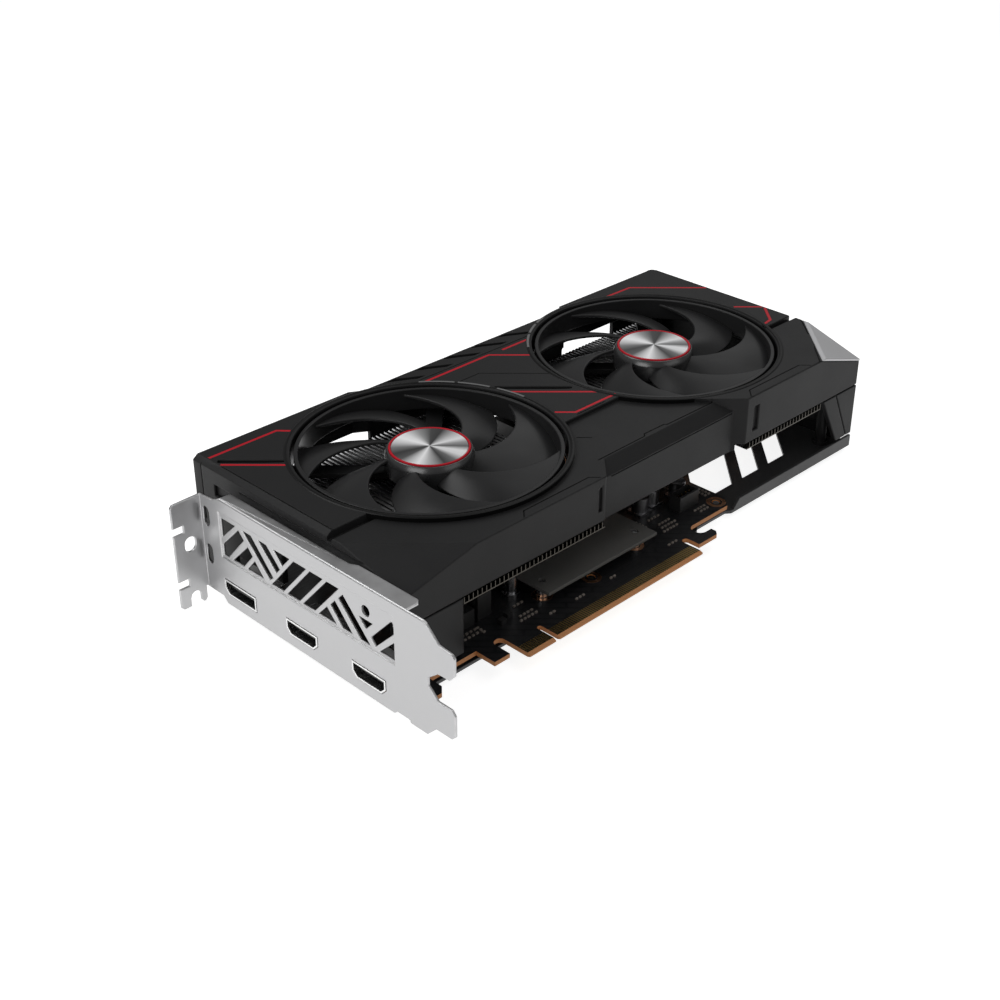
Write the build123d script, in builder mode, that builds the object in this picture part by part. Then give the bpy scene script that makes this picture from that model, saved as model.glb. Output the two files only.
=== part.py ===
from build123d import *
import math
import os

# Graphics card with two fans, lying on its backplate with the fans up.
# Card coordinates used below: x runs from the bracket's outer face to the tail,
# y from the lower edge of the edge connector to the power socket's side,
# z from the circuit board's underside up to the fans.  All sizes in millimetres.

# --- overall sizes ---------------------------------------------------------
card_length = 240.0
upper_edge_y = 117.3
lower_edge_y = 13.5
shroud_top_z = 41.8

# --- circuit board ---------------------------------------------------------
board_thickness = 1.6
board_left_x = 2.6
board_low_right_x = 166.0
board_right_x = 171.0
board_upper_y = 108.0
finger_start_x = 45.85
finger_end_x = 131.05
key_width = 1.9
short_fingers = 11.65
contact_pitch = 1.0
contact_width = 0.7
contact_length = 4.2
contact_thickness = 0.05
contact_inset = 1.25
ring_thickness = 0.05
board_hole_r = 1.6
ring_outer_r = 3.6
board_holes = [(161.1, 17.9), (91.9, 16.3), (72.4, 20.4), (117.4, 19.4), (30.0, 100.0), (160.5, 100.0),
               (25.0, 24.0)]
ear_holes = [(6.0, 40.0), (6.0, 71.0)]

# --- bracket ---------------------------------------------------------------
sheet = 0.9
bracket_low_z = -2.5
bracket_top_z = 37.3
tongue_tip_y = -14.6
tab_y = 105.4
tab_reach = 11.43
tab_top_z = 35.0
prong_tip_z = -4.95
slot_pitch = 20.32
bracket_slot_z = -1.95
bracket_slot_x = -5.35
bracket_slot_width = 3.9
emboss_depth = 0.4
emboss_low_z = 14.8
emboss_end_y = 10.4
flange_depth = 5.0
flange_deep = 6.4
grille_low_z = 16.4
grille_high_z = 30.2

# --- sockets on the bracket ------------------------------------------------
socket_wall = 0.35
socket_depth = 12.0
socket_fit = 0.15
hdmi_width = 15.2
hdmi_height = 5.5
hdmi_centres = [55.0, 23.1]
displayport_width = 16.4
displayport_height = 5.4
displayport_centre = 86.6

# --- processor, memory and power parts on the board ------------------------
gpu_x = 95.0
gpu_y = 60.0
substrate_size = 35.0
substrate_thickness = 1.0
die_length = 19.0
die_width = 14.0
die_thickness = 0.7
chip_length = 14.0
chip_width = 12.0
chip_thickness = 1.2
chip_centres = [(84.5, 31.5), (105.5, 31.5), (84.5, 88.5), (105.5, 88.5)]
pad_thickness = 3.4
choke_size = 7.0
choke_height = 4.0
choke_centres = [(136.0, 44.0), (136.0, 54.0), (136.0, 64.0), (136.0, 74.0), (136.0, 84.0), (50.0, 88.0)]
driver_size = 5.0
driver_height = 0.9
capacitor_r = 3.2
capacitor_height = 6.4
capacitor_base = 0.8
capacitor_centres = [(143.4, 44.0), (143.4, 54.0), (143.4, 64.0), (143.4, 74.0), (143.4, 34.0), (154.5, 31.0),
                     (136.2, 33.0)]
plug_x = 146.0
plug_width = 18.2
plug_height = 10.2
plug_depth = 13.0
plug_cell = 4.2
header_x = 150.5
header_y = 24.5

# --- cooler ----------------------------------------------------------------
cold_plate_size = 42.0
cold_plate_top_z = 8.4
frame_low_x = 68.4
frame_high_x = 122.2
frame_thickness = 1.2
frame_gap = 0.5
pipe_r = 3.0
pipe_y = [43.5, 54.5, 65.5, 76.5]
pipe_fit = 0.08
fin_pitch = 1.9
fin_thickness = 0.3
fin_fold = 0.4
fin_edge_width = 1.15
fin_edge = 0.3
fin_low_z = 9.0
fin_wing_z = 20.8
fin_top_z = 29.0
fin_low_y = 15.8
fin_lip_y = 13.7
fin_lip_top_z = 23.2
fin_high_y = 104.0
fin_body_y = (36.0, 88.0)
front_fins_x = (31.0, 106.5)
rear_fins_x = (150.0, 216.6)
paste_gap = 0.05
spring_offset = 23.0
brace_thickness = 1.2

# --- shroud ----------------------------------------------------------------
shroud_front_x = 7.0
shroud_wall = 2.0
ceiling_z = 37.4
side_wall_low_z = 23.6
middle_wall_low_z = 20.9
upper_wall_low_z = 26.0
front_wall_low_z = 12.0
corner_wall_low_z = 2.5
notch_wall_low_z = 9.0
plug_gap_top_z = 15.0
middle_wall_y = 17.0
middle_top_z = 40.3
middle_wall_top_z = 36.9
shoulder_y = 23.3
waist_y = 47.0
upper_notch = 3.1
facet_drop = 7.6
trim_thickness = 0.8
accent_width = 1.1
accent_depth = 0.5
accent_fit = 0.05
seam = 0.4

# --- fans ------------------------------------------------------------------
fan_x = 67.1
fan_pitch = 115.2
fan_y = 67.6
fan_top_z = 41.2
ring_r = 45.0
ring_wall = 1.4
ring_height = 8.0
fan_gap = 1.2
hub_r = 15.3
hub_wall = 1.4
hub_top_z = 40.9
hub_slope_low_z = 38.6
hub_mouth_r = 14.2
hub_low_z = 32.9
hub_roof = 1.6
badge_r = 13.0
badge_ring_width = 0.8
badge_depth = 1.0
blade_count = 7
blade_thickness = 1.4
blade_low_edge_z = 34.2
blade_high_edge_z = 39.6
rear_rotor_turn = -22.4
shaft_r = 1.5
shaft_gap = 0.04
bearing_r = 3.5
stator_r = 12.2
arm_width = 6.0
arm_low_z = 30.6
arm_high_z = 32.3
boss_r = 2.6
boss_reach = 50.0
screw_r = 1.2
screw_head_r = 2.2
screw_head = 1.2
screw_fit = 0.1

# --- backplate -------------------------------------------------------------
backplate_low_z = -3.0
backplate_thickness = 1.2
backplate_left_x = 4.0
flange_top_z = 1.6
flange_start_x = 166.5
window_width = 10.0
window_pitch = 16.2
window_start_x = 171.0
window_low_y = 25.6
window_rise = 22.4
first_window_extra = 12.0

# --- places worked out from the sizes above --------------------------------
origin_x = (card_length - tab_reach) / 2
origin_y = (upper_edge_y + tongue_tip_y) / 2
origin_z = prong_tip_z
board_top_z = board_thickness
substrate_top_z = board_top_z + substrate_thickness
die_top_z = substrate_top_z + die_thickness
chip_top_z = board_top_z + chip_thickness
frame_low_z = chip_top_z + pad_thickness
frame_top_z = frame_low_z + frame_thickness
cold_plate_low_z = die_top_z + paste_gap
pipe_z = cold_plate_top_z + pipe_r + paste_gap
fan_centres = {"front": fan_x, "rear": fan_x + fan_pitch}
well_r = ring_r + fan_gap
backplate_top_z = backplate_low_z + backplate_thickness

os.makedirs("parts", exist_ok=True)


def level(z):
    """Horizontal plane at height z, in card coordinates."""
    return Plane(origin=(-origin_x, -origin_y, z - origin_z), x_dir=(1, 0, 0), z_dir=(0, 0, 1))


def station(x):
    """Upright plane across the card at x; the sketch's axes are the card's y and z."""
    return Plane(origin=(x - origin_x, -origin_y, -origin_z), x_dir=(0, 1, 0), z_dir=(1, 0, 0))


def flank(y):
    """Upright plane along the card at y, facing -Y; the sketch's axes are the card's x and z."""
    return Plane(origin=(-origin_x, y - origin_y, -origin_z), x_dir=(1, 0, 0), z_dir=(0, -1, 0))


def place(x, y, z):
    """A card point in the model's own frame."""
    return Vector(x - origin_x, y - origin_y, z - origin_z)


def box(x0, x1, y0, y1, z0, z1, mode=Mode.ADD):
    """A block between two card corners, in the part being built."""
    with BuildSketch(level(z0)) as base:
        with Locations(((x0 + x1) / 2, (y0 + y1) / 2)):
            Rectangle(x1 - x0, y1 - y0)
    extrude(base.sketch, amount=z1 - z0, mode=mode)


def post(centres, radius, z0, z1, mode=Mode.ADD):
    """Upright cylinders at card points, in the part being built."""
    with BuildSketch(level(z0)) as base:
        with Locations(*centres):
            Circle(radius)
    extrude(base.sketch, amount=z1 - z0, mode=mode)


# ---------------------------------------------------------------------------
# Circuit board
# ---------------------------------------------------------------------------
board_points = [
    (board_left_x, 14.0), (10.5, 14.0), (10.5, 8.0), (9.5, 5.0), (13.0, 5.0), (15.3, 7.5), (15.3, 13.1),
    (35.1, 13.1), (35.1, 4.8), (43.8, 4.8), (43.8, 0.0), (132.4, 0.0), (132.4, 3.8), (143.6, 3.8),
    (145.1, 5.3), (145.1, 10.0), (149.0, lower_edge_y), (162.0, lower_edge_y), (board_low_right_x, 17.5),
    (board_low_right_x, 34.1), (board_right_x, 39.1), (board_right_x, board_upper_y),
    (board_left_x, board_upper_y),
]
# vertical slots that open on the lower edge: centre x, width, height of the round end
board_slots = [
    ((41.7 + finger_start_x) / 2, finger_start_x - 41.7, 13.2),
    (finger_start_x + short_fingers + key_width / 2, key_width, 8.9),
    ((finger_end_x + 133.9) / 2, 133.9 - finger_end_x, 9.9),
]
with BuildPart() as circuit_board:
    with BuildSketch(level(0)):
        with BuildLine():
            Polyline(*board_points, close=True)
        make_face()
        for centre, width, height in board_slots:
            with Locations((centre, (height - 10) / 2 - width / 4)):
                Rectangle(width, height + 10 - width / 2, mode=Mode.SUBTRACT)
            with Locations((centre, height - width / 2)):
                Circle(width / 2, mode=Mode.SUBTRACT)
        with Locations((142.3, 10.5)):
            Circle(3.0, mode=Mode.SUBTRACT)
        with Locations((146.3, 10.5)):
            Rectangle(8.0, 6.0, mode=Mode.SUBTRACT)
        with Locations(*board_holes, *ear_holes):
            Circle(board_hole_r, mode=Mode.SUBTRACT)
        with Locations(*[(gpu_x + sx * spring_offset, gpu_y + sy * spring_offset) for sx in (-1, 1) for sy in (-1, 1)]):
            Circle(board_hole_r, mode=Mode.SUBTRACT)
    extrude(amount=board_thickness)
    finger_edges = circuit_board.edges().filter_by(Axis.X).group_by(Axis.Y)[0]
    chamfer(finger_edges, length=0.5, length2=1.2)
circuit_board.part.label = "circuit_board"
export_step(circuit_board.part, "parts/circuit_board.step")

short_count = 11
long_count = 71
contact_x = [finger_start_x + 0.65 + contact_pitch * i for i in range(short_count)]
contact_x += [finger_start_x + short_fingers + key_width + 0.65 + contact_pitch * i for i in range(long_count)]
with BuildPart() as edge_contacts:
    for z in (board_top_z, -contact_thickness):
        with BuildSketch(level(z)):
            with Locations(*[(x, contact_inset + contact_length / 2) for x in contact_x]):
                Rectangle(contact_width, contact_length)
        extrude(amount=contact_thickness)
edge_contacts.part.label = "edge_contacts"
export_step(edge_contacts.part, "parts/edge_contacts.step")

with BuildPart() as ground_rings:
    with BuildSketch(level(board_top_z)):
        with Locations(*board_holes):
            Circle(ring_outer_r)
            Circle(board_hole_r + 0.6, mode=Mode.SUBTRACT)
    extrude(amount=ring_thickness)
ground_rings.part.label = "ground_rings"
export_step(ground_rings.part, "parts/ground_rings.step")

# ---------------------------------------------------------------------------
# Bracket: one bent sheet, with two tongues, a stiffening flange and a screw tab
# ---------------------------------------------------------------------------
bracket_points = [
    (tab_y, -0.4), (96.5, -0.4), (94.5, bracket_low_z), (11.8, bracket_low_z), (10.6, -1.5), (5.0, -1.5),
    (4.6, bracket_low_z), (-2.6, bracket_low_z), (-6.4, 1.4), (-13.0, 1.4), (tongue_tip_y, 3.0),
    (tongue_tip_y, 10.2), (-13.2, 11.9), (-7.5, 11.9), (-3.4, 15.7), (-3.4, 18.3), (-7.6, 21.7), (-12.4, 21.9),
    (tongue_tip_y, 24.4), (tongue_tip_y, 30.2), (-13.4, 31.4), (-8.2, 31.9), (-3.2, 36.6), (-1.6, bracket_top_z),
    (94.4, bracket_top_z), (98.0, 35.6), (tab_y, tab_top_z),
]
low = grille_low_z
high = grille_high_z
# grille openings, as (y, z) corners: a zigzag of leaning slots with triangles between them
grille_cuts = [
    [(94.3, high), (87.0, high), (94.3, 23.2)],
    [(85.2, 29.4), (82.7, 26.7), (92.0, low), (94.3, low), (94.3, 20.4)],
    [(80.8, 25.0), (78.6, 22.5), (84.0, low), (89.4, low)],
    [(77.6, 21.2), (73.2, low), (81.8, low)],
    [(83.0, high), (78.6, high), (68.4, 19.2), (70.4, 17.6)],
    [(75.0, high), (70.8, high), (64.6, 24.0), (66.6, 21.8)],
    [(67.2, high), (59.3, high), (63.3, 25.8)],
    [(57.3, high), (51.3, high), (63.6, low), (69.3, low)],
    [(49.4, high), (43.4, high), (55.7, low), (61.5, low)],
    [(41.4, high), (35.9, high), (48.2, low), (53.8, low)],
    [(41.9, 21.0), (37.6, low), (46.2, low)],
    [(37.9, 25.0), (40.2, 22.5), (34.6, low), (30.0, low)],
    [(34.0, 29.0), (36.2, 26.7), (26.4, low), (22.0, low)],
    [(27.0, 24.9), (20.8, 24.9), (24.0, 21.6)],
    [(12.0, high), (10.9, 28.8), (10.9, 26.3), (19.8, 17.3), (21.8, 19.6)],
    [(10.9, 23.2), (10.9, low), (18.0, low)],
]
bracket_hole = (23.6, 28.2)
oval_height = 7.4
oval_width = 3.1
ovals = [(101.8, 28.0), (101.8, 13.7)]


def socket_outline(centre, width, height, grow, chamfers):
    """Corners of a socket's mouth as (y, z): a box with some of its lower corners cut."""
    half = width / 2 + grow
    z0 = board_top_z + 0.1 - grow
    z1 = board_top_z + 0.1 + height + grow
    cut = 2.0 + grow * 0.4
    left = [(centre + half, z0 + cut), (centre + half - cut, z0)] if "left" in chamfers else [(centre + half, z0)]
    right = [(centre - half + cut, z0), (centre - half, z0 + cut)] if "right" in chamfers else [(centre - half, z0)]
    return left + right + [(centre - half, z1), (centre + half, z1)]


sockets = [(displayport_centre, displayport_width, displayport_height, ("left",))]
sockets += [(centre, hdmi_width, hdmi_height, ("left", "right")) for centre in hdmi_centres]

with BuildPart() as io_bracket:
    with BuildSketch(station(0)):
        with BuildLine():
            Polyline(*bracket_points, close=True)
        make_face()
    extrude(amount=sheet)
    # the grille field is pressed inwards
    with BuildSketch(station(sheet)):
        Polygon((95.6, emboss_low_z), (emboss_end_y, emboss_low_z), (emboss_end_y, 33.0), (95.6, 33.0), align=None)
    extrude(amount=emboss_depth)
    with BuildSketch(station(0)):
        Polygon((95.0, emboss_low_z + 0.6), (emboss_end_y + 0.6, emboss_low_z + 0.6),
                 (emboss_end_y + 0.6, 32.4), (95.0, 32.4), align=None)
    extrude(amount=emboss_depth, mode=Mode.SUBTRACT)
    for corners in grille_cuts:
        with BuildSketch(station(-1)):
            Polygon(*corners, align=None)
        extrude(amount=4, mode=Mode.SUBTRACT)
    with BuildSketch(station(-1)):
        with Locations(bracket_hole):
            Circle(1.9)
        with Locations(*ovals):
            SlotOverall(oval_height, oval_width, rotation=90)
    extrude(amount=4, mode=Mode.SUBTRACT)
    for centre, width, height, chamfers in sockets:
        with BuildSketch(station(-1)):
            Polygon(*socket_outline(centre, width, height, socket_fit, chamfers), align=None)
        extrude(amount=4, mode=Mode.SUBTRACT)
    # stiffening flange along the fan side, wider towards the tongues
    with BuildSketch(level(bracket_top_z - sheet)):
        Polygon((0.0, 5.6), (flange_deep - 1.2, 5.6), (flange_deep, 6.8), (flange_deep, 33.0),
                 (flange_depth, 35.6), (flange_depth, 94.4), (0.0, 94.4), align=None)
    extrude(amount=sheet)
    # screw tab, bent outwards, with two notches, a round hole and an open slot
    with BuildSketch(flank(tab_y)):
        Polygon((sheet, -0.4), (-0.9, 0.6), (-0.9, -3.9), (-1.8, prong_tip_z), (-2.6, prong_tip_z), (-3.4, -4.0),
                 (-7.3, prong_tip_z), (-10.2, prong_tip_z), (-tab_reach, -3.8), (-tab_reach, tab_top_z - 1.2),
                 (-tab_reach + 1.2, tab_top_z), (sheet, tab_top_z), align=None)
        with Locations((bracket_slot_x, bracket_slot_z + 0.3)):
            Circle(bracket_slot_width / 2, mode=Mode.SUBTRACT)
        with Locations((bracket_slot_x, bracket_slot_z - 3.0)):
            Rectangle(bracket_slot_width, 6.6, mode=Mode.SUBTRACT)
        with Locations((bracket_slot_x, bracket_slot_z + slot_pitch)):
            SlotOverall(5.6, 4.42, rotation=90, mode=Mode.SUBTRACT)
        for z in (24.8, 4.5):
            with Locations((-tab_reach + 2.0, z)):
                Rectangle(4.1, 2.7, mode=Mode.SUBTRACT)
    extrude(amount=sheet)
    # ears that the board is screwed to
    for x, y in ear_holes:
        box(0, x + 3.0, y - 4.0, y + 4.0, board_top_z, board_top_z + sheet)
        post([(x, y)], screw_r + screw_fit, board_top_z - 1, board_top_z + 2, Mode.SUBTRACT)
    outer_edges = io_bracket.edges().filter_by(Axis.Y).filter_by_position(
        Axis.Z, bracket_top_z - origin_z - 0.01, bracket_top_z - origin_z + 0.01)
    fillet(outer_edges.sort_by(Axis.X)[0], 0.7)
io_bracket.part.label = "io_bracket"
export_step(io_bracket.part, "parts/io_bracket.step")

with BuildPart() as bracket_screws:
    post(ear_holes, screw_head_r, board_top_z + sheet, board_top_z + sheet + screw_head)
    post(ear_holes, screw_r, 0.2, board_top_z + sheet)
bracket_screws.part.label = "bracket_screws"
export_step(bracket_screws.part, "parts/bracket_screws.step")


def socket_shell(places):
    """Metal sleeves of the sockets, open towards the bracket, in the part being built."""
    for centre, width, height, chamfers in places:
        with BuildSketch(station(0.2)) as sleeve:
            Polygon(*socket_outline(centre, width, height, 0, chamfers), align=None)
            Polygon(*socket_outline(centre, width, height, -socket_wall, chamfers), align=None,
                    mode=Mode.SUBTRACT)
        extrude(sleeve.sketch, amount=socket_depth)


def socket_core(places, tongue_z):
    """Insulating blocks at the back of the sockets, each with its contact tongue."""
    for centre, width, height, chamfers in places:
        with BuildSketch(station(socket_depth - 3.8)) as block:
            Polygon(*socket_outline(centre, width, height, -socket_wall - 0.05, chamfers), align=None)
        extrude(block.sketch, amount=4)
        box(1.2, socket_depth - 3.8, centre - width / 2 + 2.2, centre + width / 2 - 2.2,
            tongue_z, tongue_z + 1.2)


with BuildPart() as displayport_shell:
    socket_shell(sockets[:1])
displayport_shell.part.label = "displayport_shell"
export_step(displayport_shell.part, "parts/displayport_shell.step")

with BuildPart() as displayport_core:
    socket_core(sockets[:1], board_top_z + 2.6)
displayport_core.part.label = "displayport_core"
export_step(displayport_core.part, "parts/displayport_core.step")

with BuildPart() as hdmi_shells:
    socket_shell(sockets[1:])
hdmi_shells.part.label = "hdmi_shells"
export_step(hdmi_shells.part, "parts/hdmi_shells.step")

with BuildPart() as hdmi_cores:
    socket_core(sockets[1:], board_top_z + 3.0)
hdmi_cores.part.label = "hdmi_cores"
export_step(hdmi_cores.part, "parts/hdmi_cores.step")

# ---------------------------------------------------------------------------
# Parts soldered to the board
# ---------------------------------------------------------------------------
with BuildPart() as gpu_substrate:
    box(gpu_x - substrate_size / 2, gpu_x + substrate_size / 2, gpu_y - substrate_size / 2,
        gpu_y + substrate_size / 2, board_top_z, substrate_top_z)
gpu_substrate.part.label = "gpu_substrate"
export_step(gpu_substrate.part, "parts/gpu_substrate.step")

with BuildPart() as gpu_die:
    box(gpu_x - die_length / 2, gpu_x + die_length / 2, gpu_y - die_width / 2, gpu_y + die_width / 2,
        substrate_top_z, die_top_z)
gpu_die.part.label = "gpu_die"
export_step(gpu_die.part, "parts/gpu_die.step")

with BuildPart() as memory_chips:
    for x, y in chip_centres:
        box(x - chip_length / 2, x + chip_length / 2, y - chip_width / 2, y + chip_width / 2,
            board_top_z, chip_top_z)
memory_chips.part.label = "memory_chips"
export_step(memory_chips.part, "parts/memory_chips.step")

with BuildPart() as thermal_pads:
    for x, y in chip_centres:
        box(x - 6.0, x + 6.0, y - 5.0, y + 5.0, chip_top_z, frame_low_z)
thermal_pads.part.label = "thermal_pads"
export_step(thermal_pads.part, "parts/thermal_pads.step")

with BuildPart() as power_chokes:
    for x, y in choke_centres:
        box(x - choke_size / 2, x + choke_size / 2, y - choke_size / 2, y + choke_size / 2,
            board_top_z, board_top_z + choke_height)
    upright = power_chokes.edges().filter_by(Axis.Z)
    chamfer(upright, 0.6)
power_chokes.part.label = "power_chokes"
export_step(power_chokes.part, "parts/power_chokes.step")

with BuildPart() as power_drivers:
    for x, y in choke_centres[:5]:
        box(x - choke_size / 2 - 1.5 - driver_size, x - choke_size / 2 - 1.5, y - driver_size / 2,
            y + driver_size / 2, board_top_z, board_top_z + driver_height)
power_drivers.part.label = "power_drivers"
export_step(power_drivers.part, "parts/power_drivers.step")

with BuildPart() as capacitors:
    for x, y in capacitor_centres:
        box(x - capacitor_r, x + capacitor_r, y - capacitor_r, y + capacitor_r, board_top_z,
            board_top_z + capacitor_base)
    post(capacitor_centres, capacitor_r - 0.2, board_top_z + capacitor_base, board_top_z + capacitor_height)
capacitors.part.label = "capacitors"
export_step(capacitors.part, "parts/capacitors.step")

# small ceramic parts: rows of identical blocks, as (first x, first y, count, pitch, along)
chip_rows = [
    (36.6, 19.6, 5, 1.8, "x"), (37.4, 21.6, 4, 1.8, "x"), (56.8, 14.6, 5, 1.7, "x"), (58.4, 16.6, 4, 1.7, "x"),
    (61.0, 22.0, 3, 1.7, "x"), (78.6, 10.6, 3, 1.6, "x"), (96.0, 11.0, 2, 1.6, "x"), (126.0, 10.8, 3, 1.8, "x"),
    (131.6, 17.6, 5, 1.7, "x"), (133.0, 19.8, 5, 1.7, "x"), (134.0, 22.0, 4, 1.7, "x"), (133.4, 26.4, 4, 1.7, "x"),
    (150.6, 19.2, 4, 1.7, "x"), (152.0, 17.4, 3, 1.7, "x"), (161.8, 23.4, 6, 1.5, "y"), (163.8, 23.4, 4, 1.5, "y"),
    (66.4, 10.8, 2, 1.6, "x"), (44.0, 18.6, 3, 1.5, "y"), (129.0, 24.0, 4, 1.5, "y"), (155.6, 36.0, 6, 1.7, "y"),
    (40.0, 40.0, 8, 3.0, "y"), (48.0, 40.0, 8, 3.0, "y"), (155.0, 60.0, 8, 3.0, "y"), (160.0, 60.0, 8, 3.0, "y"),
]
with BuildPart() as ceramic_parts:
    for x, y, count, pitch, along in chip_rows:
        for i in range(count):
            cx = x + (pitch * i if along == "x" else 0)
            cy = y + (pitch * i if along == "y" else 0)
            box(cx - 0.5, cx + 0.5, cy - 0.3, cy + 0.3, board_top_z, board_top_z + 0.55)
ceramic_parts.part.label = "ceramic_parts"
export_step(ceramic_parts.part, "parts/ceramic_parts.step")

with BuildPart() as front_connectors:
    # shielded cans and a low pin strip behind the bracket
    box(47.0, 53.0, 24.5, 33.0, board_top_z, board_top_z + 9.0)
    box(37.0, 45.0, 24.0, 30.0, board_top_z, board_top_z + 6.0)
    box(50.5, 53.0, 17.2, 19.4, board_top_z, board_top_z + 1.6)
    box(54.4, 56.6, 18.4, 20.4, board_top_z, board_top_z + 1.8)
front_connectors.part.label = "front_connectors"
export_step(front_connectors.part, "parts/front_connectors.step")

with BuildPart() as fan_header:
    box(header_x - 5.2, header_x + 5.2, header_y - 2.6, header_y + 2.6, board_top_z, board_top_z + 6.0)
    box(header_x - 4.6, header_x + 4.6, header_y - 1.6, header_y + 2.0, board_top_z + 1.2,
        board_top_z + 6.0, Mode.SUBTRACT)
fan_header.part.label = "fan_header"
export_step(fan_header.part, "parts/fan_header.step")

with BuildPart() as fan_header_pins:
    for i in range(4):
        x = header_x - 3.0 + 2.0 * i
        box(x - 0.25, x + 0.25, header_y - 0.25, header_y + 0.25, board_top_z + 1.2, board_top_z + 5.4)
fan_header_pins.part.label = "fan_header_pins"
export_step(fan_header_pins.part, "parts/fan_header_pins.step")

plug_low_z = board_top_z
cell_places = [(plug_x + (i - 1.5) * plug_cell, plug_low_z + 2.9 + row * plug_cell)
               for i in range(4) for row in range(2)]
plug_front_y = board_upper_y + 0.6
with BuildPart() as power_socket:
    with BuildSketch(flank(plug_front_y)):
        with Locations((plug_x, plug_low_z + plug_height / 2)):
            Rectangle(plug_width, plug_height)
    extrude(amount=plug_depth)
    with BuildSketch(flank(plug_front_y)):
        with Locations(*cell_places):
            Rectangle(plug_cell - 0.7, plug_cell - 0.7)
    extrude(amount=plug_depth - 2.5, mode=Mode.SUBTRACT)
    with BuildSketch(flank(plug_front_y)):
        with Locations((plug_x, plug_low_z + plug_height + 0.6)):
            Rectangle(5.0, 1.2)
    extrude(amount=4)
power_socket.part.label = "power_socket"
export_step(power_socket.part, "parts/power_socket.step")

with BuildPart() as power_pins:
    with BuildSketch(flank(plug_front_y - 2.0)):
        with Locations(*cell_places):
            Rectangle(1.1, 1.1)
    extrude(amount=plug_depth - 4.5)
power_pins.part.label = "power_pins"
export_step(power_pins.part, "parts/power_pins.step")

# ---------------------------------------------------------------------------
# Cooler
# ---------------------------------------------------------------------------
spring_holes = [(gpu_x + sx * spring_offset, gpu_y + sy * spring_offset) for sx in (-1, 1) for sy in (-1, 1)]
frame_screws = board_holes[2:4]

with BuildPart() as cooling_frame:
    with BuildSketch(level(frame_low_z)):
        Polygon((frame_low_x, lower_edge_y), (frame_high_x, lower_edge_y), (frame_high_x, 96.0),
                 (frame_low_x, 96.0), align=None)
        with Locations((gpu_x, gpu_y)):
            Rectangle(cold_plate_size + 2 * frame_gap, cold_plate_size + 2 * frame_gap, mode=Mode.SUBTRACT)
        with Locations(*frame_screws):
            Circle(1.3, mode=Mode.SUBTRACT)
    extrude(amount=frame_thickness)
cooling_frame.part.label = "cooling_frame"
export_step(cooling_frame.part, "parts/cooling_frame.step")

with BuildPart() as frame_posts:
    for x, y in frame_screws:
        post([(x, y)], 1.9, board_top_z + ring_thickness, frame_low_z)
        post([(x, y)], 1.2, frame_low_z, frame_top_z - 0.5)
frame_posts.part.label = "frame_posts"
export_step(frame_posts.part, "parts/frame_posts.step")

with BuildPart() as cold_plate:
    half = cold_plate_size / 2
    box(gpu_x - half, gpu_x + half, gpu_y - half, gpu_y + half, cold_plate_low_z, cold_plate_top_z)
cold_plate.part.label = "cold_plate"
export_step(cold_plate.part, "parts/cold_plate.step")

with BuildPart() as heat_pipes:
    with BuildSketch(station(front_fins_x[0] - 2.0)):
        with Locations(*[(y, pipe_z) for y in pipe_y]):
            Circle(pipe_r)
    extrude(amount=rear_fins_x[1] - front_fins_x[0] + 4.0)
    fillet(heat_pipes.edges().filter_by(GeomType.CIRCLE), 1.2)
heat_pipes.part.label = "heat_pipes"
export_step(heat_pipes.part, "parts/heat_pipes.step")


def fin_stack(x0, x1):
    """Upright fins joined by folded strips, deep in the middle and shallow at both sides."""
    count = int((x1 - x0) // fin_pitch) + 1
    run = (count - 1) * fin_pitch
    body_low, body_high = fin_body_y
    edge = fin_thickness / 2
    # one fin's outline, with its pipe holes, repeated along the card
    with BuildSketch(station(x0 - edge)) as fin:
        Polygon((fin_lip_y, fin_wing_z), (body_low, fin_wing_z), (body_low, fin_low_z), (body_high, fin_low_z),
                (body_high, fin_wing_z), (fin_high_y, fin_wing_z), (fin_high_y, fin_top_z),
                (fin_low_y, fin_top_z), (fin_low_y, fin_lip_top_z), (fin_lip_y, fin_lip_top_z), align=None)
        with Locations(*[(y, pipe_z) for y in pipe_y]):
            Circle(pipe_r + pipe_fit, mode=Mode.SUBTRACT)
    with BuildSketch(station(x0 - edge)) as fold:
        for y0, y1, z0 in [(fin_lip_y, body_low, fin_wing_z), (body_low, body_high, fin_low_z),
                           (body_high, fin_high_y, fin_wing_z)]:
            with Locations(((y0 + y1) / 2, z0 + fin_fold / 2)):
                Rectangle(y1 - y0, fin_fold)
        with Locations(*[(y, pipe_z) for y in pipe_y]):
            Circle(pipe_r + pipe_fit, mode=Mode.SUBTRACT)
    extrude(fold.sketch, amount=run + fin_thickness)
    # each fin's upper edge, bent over
    with BuildSketch(station(x0 - edge)) as bend:
        with Locations(((fin_low_y + fin_high_y) / 2, fin_top_z - fin_edge / 2)):
            Rectangle(fin_high_y - fin_low_y, fin_edge)
    bends = [extrude(bend.sketch, amount=fin_edge_width, mode=Mode.PRIVATE).moved(Location((fin_pitch * i, 0, 0)))
             for i in range(count)]
    add(bends)
    fins = [extrude(fin.sketch, amount=fin_thickness, mode=Mode.PRIVATE).moved(Location((fin_pitch * i, 0, 0)))
            for i in range(count)]
    add(fins)


with BuildPart() as front_fin_stack:
    fin_stack(*front_fins_x)
    box(95.0, 120.0, 10.0, middle_wall_y + shroud_wall + 0.4, 0.0, 40.0, Mode.SUBTRACT)
front_fin_stack.part.label = "front_fin_stack"
export_step(front_fin_stack.part, "parts/front_fin_stack.step")

with BuildPart() as rear_fin_stack:
    fin_stack(*rear_fins_x)
    box(140.0, 171.2, 10.0, middle_wall_y + shroud_wall + 0.4, 0.0, 40.0, Mode.SUBTRACT)
rear_fin_stack.part.label = "rear_fin_stack"
export_step(rear_fin_stack.part, "parts/rear_fin_stack.step")

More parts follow.
